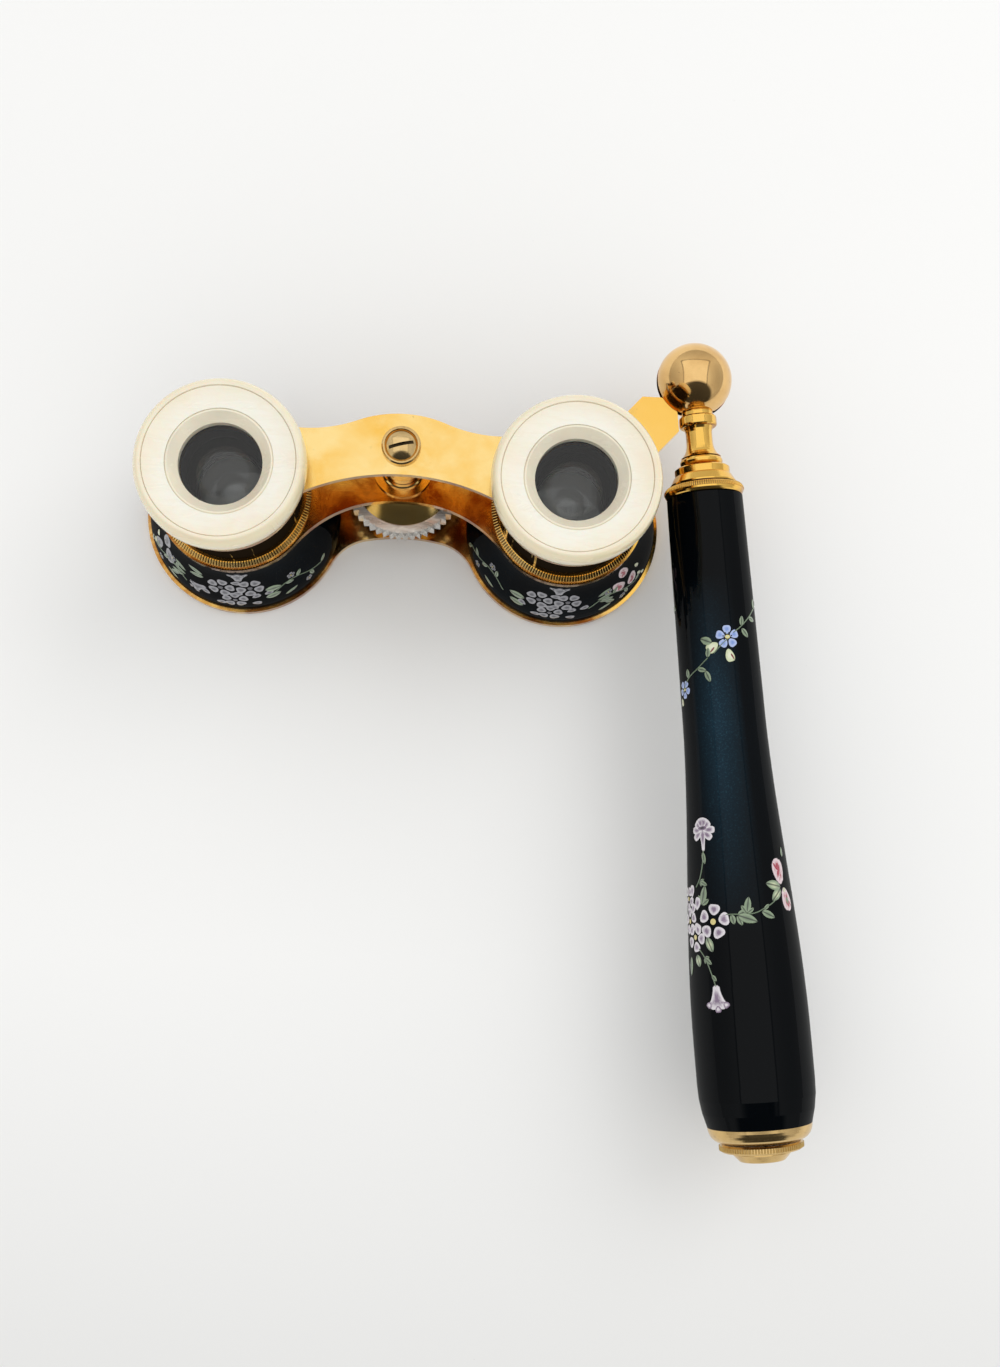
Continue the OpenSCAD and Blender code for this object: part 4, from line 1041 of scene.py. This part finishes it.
        for mark in self.marks:
            add(*mark)
        for stem in self.stems:
            first = len(points)
            for distance, angle in stem:
                add(-1, distance, angle, 0, 0, (0, 0, 0), self.paint.leaf, self.paint.leaf_pale, 0)
            edges += [(k, k + 1) for k in range(first, len(points) - 1)]
        mesh = bpy.data.meshes.new("spray_source")
        mesh.from_pydata(points, edges, [])
        for name, (data_type, field) in FIELDS.items():
            made = mesh.attributes.new(name, data_type, "POINT")
            number = np.int32 if data_type == "INT" else np.float32
            made.data.foreach_set(field, np.array(columns[name], number).ravel())
        return mesh

    def build(self, name, tree, shapes, material):
        """The finished piece, wrapped on its skin."""
        sizes = {"Stem_Radius": self.paint.stem / 2, "Stem_Step": STEM_STEP}
        made = tree.build(name, self.source(), Material=material, **sizes, **shapes)
        mesh = made.data
        distance, across, height = read(mesh.vertices, "co").T
        home, home_angle, _ = read(mesh.attributes["home"].data, "vector").T
        across = across - home_angle * self.skin.mean
        angle = home_angle + across / self.skin.radius_at(home)
        wrapped = self.skin.wrap(distance, angle, np.minimum(height, TOP_HEIGHT))
        mesh.vertices.foreach_set("co", wrapped.ravel())
        mesh.update()
        face_outwards(mesh)
        return made


def face_outwards(mesh):
    """Turns a mesh round if its volume, counted with its faces' signs, is below zero."""
    mesh.calc_loop_triangles()
    corners = read(mesh.vertices, "co")
    tris = np.array([t.vertices for t in mesh.loop_triangles])
    a, b, c = (corners[tris[:, k]] for k in range(3))
    if np.einsum("ij,ij->i", a, np.cross(b, c)).sum() < 0:
        mesh.flip_normals()


def blue_spray(spray):
    """Two small blue flowers on a slanting stem, with cream-green buds."""
    spray.sprig([(58.6, -75), (56.4, -60), (54.9, -42), (53.2, -25)], 1.9)
    spray.leaf(55.4, -30, 20, 2.4, 1.1)
    spray.leaf(50.6, -17, -115, 2.4, 1.6)
    spray.stem((52.5, -16), (51.0, -4), (50.0, 6))
    spray.sprig([(49.0, 14), (47.8, 28), (46.2, 44), (44.4, 62), (42.6, 84)], 2.0)
    spray.leaf(48.2, 28, 40, 2.2, 1.2)
    spray.blue_flower(49.7, 5, 2.3, 36)
    spray.bud(50.7, -9, -58, 2.6, 2.3)
    spray.bud(51.8, 4, 12, 2.7, 2.0)
    spray.blue_flower(58.2, -71, 1.8, 0)
    spray.bud(59.6, -82, 10, 1.6, 1.2)


def main_spray(spray):
    """A trumpet flower above a cluster of blossoms, a branch to two roses and a bell flower."""
    spray.trumpet(87.8, -50, 181, 6.4)
    spray.stem((87.4, -50), (89.7, -52), (92.3, -57), (93.8, -64))
    spray.leaf(87.6, -51, 10, 2.4, 0.9)
    spray.lobed(92.8, -57, 64, 1.9)
    spray.lobed(97.0, -55, 166, 3.6)
    tints = (spray.paint.lilac, spray.paint.white)
    loose = ((94.4, -73, 178, 2.4), (96.6, -64, 165, 2.6), (97.4, -74, 150, 2.2), (99.2, -66, 30, 2.2))
    for along, angle, turn, long in loose:
        spray.mark("petal", along + long / 2, angle, turn, long, long * 0.72, *tints)
    spray.blossom(102.6, -68, 2.8, 10)
    spray.blossom(99.8, -80, 2.6, 40)
    spray.blossom(95.8, -84, 2.4, 0)
    spray.blossom(100.0, -41, 3.3, 172, reach_share=0.66)
    spray.leaf(102.6, -50, 24, 3.0, 1.7, pale=True)
    spray.leaf(105.6, -66, 20, 2.4, 1.7, pale=True)
    spray.leaf(105.9, -78, -6, 3.6, 1.3)
    spray.stem((98.9, -26), (98.9, -18), (99.1, -6), (98.9, 6), (98.3, 15), (97.3, 28), (95.8, 40))
    spray.leaf(98.9, -20, 12, 1.9, 1.1)
    spray.lobed(99.1, -14, 68, 3.8)
    spray.lobed(98.9, -4, 168, 3.0)
    spray.leaf(98.7, 12, 62, 2.9, 1.4)
    spray.leaf(97.6, 22, -52, 1.6, 0.7)
    spray.leaf(94.8, 42, -104, 3.6, 1.9, pale=True)
    spray.leaf(95.0, 41, -48, 3.2, 1.8, pale=True)
    spray.rose(92.0, 42, 184, 5.0)
    spray.rose(97.0, 50, 14, 4.6)
    spray.bud(94.9, 47, 10, 0.9, 0.8)
    spray.leaf(89.6, 54, 176, 1.9, 0.8)
    spray.leaf(96.6, 49, 20, 1.4, 0.8)
    spray.stem((104.6, -62), (106.4, -53), (108.7, -47), (111.2, -42))
    spray.lobed(106.2, -54, 52, 2.0)
    spray.leaf(109.2, -46, 40, 1.5, 0.8)
    spray.skirt(110.8, -42, 2, 4.4, 5.6, *tints)


def barrel_clusters(spray, shift):
    """Three close-set blossoms and loose petals, with a flat bell flower over them."""
    p = spray.paint
    for along, angle, reach, start in ((10.2, -10, 2.85, 10), (10.4, 10, 2.85, 40), (6.6, -1, 2.7, 0)):
        spray.blossom(along, angle + shift, reach, start, p.slate, p.grey, heart=p.slate)
    low = ((7.2, 10, 60), (5.3, 9, 100), (5.0, -13, 80), (7.0, -17, -60))
    high = ((12.2, -3, 90), (7.6, 18, 75), (8.8, -2, 90))
    for along, angle, turn in (*low, *high):
        spray.mark("petal", along, angle + shift, turn, 2.0, 1.5, p.slate, p.grey)
    spray.skirt(12.7, 3 + shift, 0, 2.6, 5.0, p.slate, p.grey)


def grey_sprig(spray, start, way):
    """Small grey leaves on a thin stem that runs round the barrel from one place."""
    spray.sprig([(7.2 + 1.6 * math.sin(k * 1.1), start + way * 9 * k) for k in range(5)], 1.9)
    spray.leaf(5.0, start + way * 6, way * 76, 3.2, 0.9)
    spray.blossom(9.8, start + way * 15, 0.9, 15, spray.paint.slate, spray.paint.grey)
    spray.blossom(5.2, start + way * 24, 0.8, 40, spray.paint.slate, spray.paint.grey)


def rose_group(spray, angle, way, *tints):
    """Three half-open roses with buds, and narrow leaves on one side of them."""
    spray.rose(9.2, angle - way * 5, 150, 3.9, *tints)
    spray.rose(12.2, angle + way * 2, 170, 3.7, *tints)
    spray.rose(8.0, angle + way * 7, 200, 3.7, *tints)
    for along, off in ((10.4, 13), (7.4, 12), (5.8, 15)):
        spray.bud(along, angle + way * off, 160, 1.7, 1.0)
    for along, turn, size in ((10.6, 104, 3.2), (8.8, 88, 3.4), (7.2, 72, 3.4), (5.8, 50, 2.8)):
        spray.leaf(along, angle - way * 10, -way * turn, size, 1.1)


def barrel_spray(spray, side):
    """What is painted on one barrel, mirrored in part on the other, and again on its far side."""
    middle_deg = -95 if side == "right" else -91
    for shift in (middle_deg, middle_deg + 180):
        barrel_clusters(spray, shift)
        left = -1 if side == "right" else 1
        spray.leaf(8.9, shift + left * 19, left * 96, 3.4, 1.9)
        spray.leaf(6.4, shift + left * 18, left * 82, 3.3, 1.8)
        grey_sprig(spray, shift + 24, 1)
        grey_sprig(spray, shift - 34, -1)
    if side == "right":
        rose_group(spray, -43, 1)
        rose_group(spray, 130, 1)
    else:
        spray.leaf(12.2, -114, -80, 3.4, 1.3)
        spray.leaf(11.6, -113, -104, 3.2, 1.2)
        spray.skirt(8.6, -111, -125, 3.4, 4.2, spray.paint.slate, spray.paint.grey)
        rose_group(spray, -148, -1, spray.paint.slate, spray.paint.grey)
        rose_group(spray, 36, -1)


# ---------------------------------------------------------------- operators


GILT_NODES = (
    "column_collar",
    "column_foot",
    "wheel_hub",
    "wheel_cap_top",
    "wheel_cap_low",
    "upper_bridge",
    "focus_spindle",
    "handle_neck",
    "handle_shoulder",
    "inner_tube_foot",
    "lock_expander",
)
ANTIQUE_NODES = ("spindle_washer", "bottom_cap", "knob_ring", "knob_button")


class FinishOperator:
    """What the operators share."""

    bl_options = {"REGISTER", "UNDO"}


class OPERA_OT_metal(FinishOperator, bpy.types.Operator):
    """Give the gilt, brass, steel and blackened pieces their metal"""

    bl_idname = "opera.metal"
    bl_label = "Finish the metal"

    def execute(self, context):
        finish_nodes(gilt_material(), *GILT_NODES)
        # The bridges get the painted shade all over but for the arm.
        finish_nodes(gilt_material("stained_gilt", painted_shade_all_over=True), "lower_bridge", "middle_bridge")
        band = milled_band("top_ferrule", HANDLE_START, HANDLE_ALONG, FERRULE_MILLED)
        finish_nodes(gilt_material("gilt_ferrule", band=band), "top_ferrule")
        band = milled_band("collar_ring_right", foot_of("collar_ring_right"), UP, BEVEL_MILLED)
        finish_nodes(gilt_material("gilt_collar", band=band), *both("collar_ring"))
        tubes = both("barrel_tube", "objective_cell", "eyepiece_cell")
        finish_nodes(gilt_material("gilt_outside_black_bore", black_bore=True), *tubes)
        finish_nodes(draw_tube_material(), *both("draw_tube"))
        finish_nodes(ball_material(), "hinge_ball")
        finish_nodes(screw_material(), "spindle_screw")
        finish_nodes(antique_material(), *ANTIQUE_NODES)
        finish_nodes(steel_material(), "hinge_pin", "inner_tube", "grip_liner", "lock_rod")
        finish_nodes(black_material(), *both("objective_ring", "eye_lens_ring"))
        return {"FINISHED"}


class OPERA_OT_enamel(FinishOperator, bpy.types.Operator):
    """Enamel the handle and the barrels"""

    bl_idname = "opera.enamel"
    bl_label = "Enamel the handle and barrels"

    def execute(self, context):
        finish_nodes(handle_enamel_material(), "grip_enamel")
        finish_nodes(barrel_enamel_material(), *both("enamel_sleeve"))
        return {"FINISHED"}


class OPERA_OT_shell(FinishOperator, bpy.types.Operator):
    """Make the eyecups and the wheel's rim of polished shell"""

    bl_idname = "opera.shell"
    bl_label = "Finish the shell"

    def execute(self, context):
        shell = settings("shell")
        cups = pearl_material("cream_shell", shell.cream, shell.pale, shell.shade, shell.edge, 0.35)
        finish_nodes(cups, *both("eyecup"))
        # The inserts' grey is painted shade in their conical recess.
        inner = pearl_material("grey_shell", shell.grey, shell.cream, shell.shade, shell.edge, 0.25)
        finish_nodes(inner, *both("eyecup_insert"))
        finish_nodes(rim_shell_material(), "wheel_rim")
        return {"FINISHED"}


class OPERA_OT_lenses(FinishOperator, bpy.types.Operator):
    """Make the four lenses of clear glass"""

    bl_idname = "opera.lenses"
    bl_label = "Finish the lenses"

    def execute(self, context):
        finish_nodes(glass_material(), *both("objective_lens", "eye_lens"))
        return {"FINISHED"}


class OPERA_OT_milling(FinishOperator, bpy.types.Operator):
    """Mill ribs round the collars, the ferrule and the locking knob"""

    bl_idname = "opera.milling"
    bl_label = "Mill the ribs"

    def execute(self, context):
        milling = settings("milling")
        tree = rib_tree()
        gilt = (bpy.data.materials["polished_gilt"], "gilt_brass")
        antique = (bpy.data.materials["antique_brass"], "antique_brass")
        handle = (HANDLE_START, HANDLE_ALONG)
        rows = []
        for side in SIDES:
            ring = (foot_of("collar_ring_" + side), UP, milling.collar_ribs, BEVEL_MILLED)
            rows.append(("collar_ribs_" + side, "frame", "collar_ring_" + side, *ring, *gilt))
        ferrule = (*handle, milling.ferrule_ribs, FERRULE_MILLED)
        rows.append(("ferrule_ribs", "grip", "top_ferrule", *ferrule, *gilt))
        rows.append(("knob_ribs", "lock_knob", "knob_ring", *handle, milling.knob_ribs, 0.0, *antique))
        for name, body, node, start, axis, number, reach, material, slot in rows:
            path = milled_path(profile_of(node, start, axis), reach)
            source = bpy.data.meshes.new(name + "_line")
            edges = [(k, k + 1) for k in range(len(path) - 1)]
            source.from_pydata([(r, 0, a) for r, a in path], edges, [])
            width = math.pi * max(r for r, _ in path) / number * milling.fullness
            ribs = tree.build(name, source, Ribs=number, Width=width, Material=material)
            turned = axis.to_track_quat("Z", "Y").to_matrix().to_4x4()
            ribs.data.transform(Matrix.Translation(start) @ turned)
            face_outwards(ribs.data)
            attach(ribs, body)
        return {"FINISHED"}


class OPERA_OT_flowers(FinishOperator, bpy.types.Operator):
    """Paint the sprays of flowers on the handle and both barrels"""

    bl_idname = "opera.flowers"
    bl_label = "Paint the flowers"

    def execute(self, context):
        tree = spray_tree()
        shapes = {shape: shape_object(shape) for shape in SHAPES}
        paint = paint_material()
        sprays = []
        for name, shift in (("handle_flowers_top", 0), ("handle_flowers_back", 180)):
            spray = Spray(handle_skin(), shift)
            blue_spray(spray)
            main_spray(spray)
            sprays.append((name, "grip", spray))
        for side in SIDES:
            spray = Spray(barrel_skin(side))
            barrel_spray(spray, side)
            sprays.append(("barrel_flowers_" + side, "frame", spray))
        for name, body, spray in sprays:
            piece = spray.build(name, tree, shapes, paint)
            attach(piece, body)
        for made in shapes.values():
            bpy.data.objects.remove(made)
        return {"FINISHED"}


TABLE_REACH = 3.0
SHADE_FROM, SHADE_TO = -0.165, -0.085  # painted shade darkens the table top towards its near end between these
SKY_WAY = Vector((-0.07, 0.26, 0.96)).normalized()
SKY_CORNER = 0.12  # how round the corners of the patch overhead are
PERSON_WAY = Vector((0.05, -0.86, 0.48)).normalized()
PERSON_EDGE = (0.66, 0.78)
# how far out from the middle of the patch overhead, and how bright
SKY_STEPS = ((0.56, 1.0), (0.575, 0.36), (0.60, 0.36), (0.615, 0.76), (0.80, 0.62), (0.98, 0.50))
BACKDROP = 0.955
LAMP_PLACE, LAMP_TARGET = Vector((0.75, 0.55, 0.95)), Vector((0.015, -0.03, 0.0))
CAMERA_PLACE, CAMERA_TURN = (0.00953, -0.07161, 0.32665), (7.099, -2.090, 2.102)
LENS_LENGTH, SENSOR_WIDTH = 44.77, 36


def table_material(stage):
    """Matt white board, with painted shade that makes it a little greyer at its near end, and specks of
    dust.
    """
    finish = Finish("table_paint")
    cloud = finish.noise(5, 3, 0.5)
    # Painted shade: the table top is painted darker towards its near end.
    near = finish.level(finish.split(finish.place)[1], SHADE_FROM, SHADE_TO)
    base = finish.blend(near, stage.floor_near_shade, stage.floor)
    dust = finish.level(finish.noise(1700, 1, 0.5), 0.80, 0.84, 0, 0.25)
    tint = finish.blend(finish.level(cloud, 0.3, 0.7, 0, 0.03), base, (0.70, 0.70, 0.69))
    return finish.done(
        Base_Color=finish.blend(dust, tint, (0.5, 0.49, 0.48)),
        Roughness=finish.level(cloud, 0.3, 0.7, 0.55, 0.65),
        Specular_IOR_Level=0.2,
    )


def lay_table(stage):
    reach = TABLE_REACH
    mesh = bpy.data.meshes.new("table_top")
    corners = [(-reach, -reach, 0), (reach, -reach, 0), (reach, reach, 0), (-reach, reach, 0)]
    mesh.from_pydata(corners, [], [(0, 1, 2, 3)])
    mesh.materials.append(table_material(stage))
    floor = bpy.data.objects.new("table_top", mesh)
    bpy.context.scene.collection.objects.link(floor)


def room_glow(room, way):
    """What shiny pieces reflect: a bright square patch overhead with a dark frame, dimmer walls
    and the dark shape of someone in front."""
    across = Vector((0, 1, 0)).cross(SKY_WAY).normalized()
    axes = (across, SKY_WAY.cross(across), -SKY_WAY)
    wide, tall, behind = (room.vector("DOT_PRODUCT", way, axis) for axis in axes)
    wide, tall = room.maths("ABSOLUTE", wide), room.maths("ABSOLUTE", tall)
    edge = room.maths("SMOOTH_MAX", wide, tall, SKY_CORNER)
    spread = room.maths("MAXIMUM", edge, room.maths("GREATER_THAN", behind, 0.0))
    ramp = room.node("ShaderNodeValToRGB", {0: spread})
    held = ramp.color_ramp.elements
    for number, (position, level) in enumerate(SKY_STEPS):
        step = held[number] if number < 2 else held.new(position)
        step.position = position
        step.color = (level, level * 0.99, level * 0.97, 1)
    facing = room.vector("DOT_PRODUCT", way, PERSON_WAY)
    shade = room.level(facing, *PERSON_EDGE, 1.0, 0.10, interpolation_type="SMOOTHSTEP")
    return room.scaled(ramp.outputs[0], shade)


def light_room(stage):
    """Reflections of a room, even light from all round and a plain backdrop for the view."""
    world = bpy.data.worlds.new("soft_room")
    world.use_nodes = True
    world.node_tree.nodes.clear()
    bpy.context.scene.world = world
    room = Nodes(world.node_tree)
    glow = room_glow(room, room.node("ShaderNodeTexCoord").outputs["Generated"])
    mixed = room.node("ShaderNodeBackground", {"Color": glow, "Strength": stage.sky}).outputs[0]
    path = room.node("ShaderNodeLightPath").outputs
    for ray, value in (("Is Diffuse Ray", stage.fill), ("Is Camera Ray", BACKDROP)):
        tint = {"Color": (value, value, value * 0.99)}
        even = room.node("ShaderNodeBackground", tint).outputs[0]
        mixed = room.node("ShaderNodeMixShader", {0: path[ray], 1: mixed, 2: even}).outputs[0]
    room.node("ShaderNodeOutputWorld", {0: mixed})


def hang_lamp(stage):
    lamp = bpy.data.lights.new("key_light", "AREA")
    lamp.energy = stage.key_power
    lamp.shape = "RECTANGLE"
    lamp.size = stage.key_size
    lamp.size_y = stage.key_size * 0.8
    made = bpy.data.objects.new("key_light", lamp)
    bpy.context.scene.collection.objects.link(made)
    made.location = LAMP_PLACE
    made.rotation_euler = (LAMP_TARGET - LAMP_PLACE).to_track_quat("-Z", "Y").to_euler()
    made.visible_glossy = False
    made.visible_transmission = False


def place_camera(scene):
    lens = bpy.data.cameras.new("view")
    lens.lens = LENS_LENGTH
    lens.sensor_width = SENSOR_WIDTH
    lens.clip_start = 0.01
    camera = bpy.data.objects.new("view", lens)
    scene.collection.objects.link(camera)
    camera.location = CAMERA_PLACE
    camera.rotation_euler = [math.radians(a) for a in CAMERA_TURN]
    scene.camera = camera


class OPERA_OT_stage(FinishOperator, bpy.types.Operator):
    """Set the table top, the soft lights and the camera"""

    bl_idname = "opera.stage"
    bl_label = "Set the stage"

    def execute(self, context):
        stage = settings("stage")
        lay_table(stage)
        light_room(stage)
        hang_lamp(stage)
        place_camera(context.scene)
        context.scene.view_settings.view_transform = "Standard"
        return {"FINISHED"}


OPERATORS = (
    OPERA_OT_metal,
    OPERA_OT_enamel,
    OPERA_OT_shell,
    OPERA_OT_lenses,
    OPERA_OT_milling,
    OPERA_OT_flowers,
    OPERA_OT_stage,
)


class OPERA_PT_finish(bpy.types.Panel):
    """The opera glasses' operators and settings"""

    bl_label = "Opera Glasses"
    bl_idname = "OPERA_PT_finish"
    bl_space_type = "VIEW_3D"
    bl_region_type = "UI"
    bl_category = "Opera Glasses"

    def draw(self, context):
        column = self.layout.column()
        for operator in OPERATORS:
            column.operator(operator.bl_idname)
        for kind, group in SETTINGS.items():
            for name in group.__annotations__:
                column.prop(settings(kind), name)


CLASSES = (*SETTINGS.values(), *OPERATORS, OPERA_PT_finish)


def register():
    for cls in CLASSES:
        bpy.utils.register_class(cls)
    for kind, group in SETTINGS.items():
        setattr(bpy.types.Scene, "opera_" + kind, PointerProperty(type=group))


def unregister():
    for kind in SETTINGS:
        delattr(bpy.types.Scene, "opera_" + kind)
    for cls in reversed(CLASSES):
        bpy.utils.unregister_class(cls)


def main():
    register()
    for operator in OPERATORS:
        name = operator.bl_idname.split(".")[1]
        getattr(bpy.ops.opera, name)()


if __name__ == "__main__":
    main()
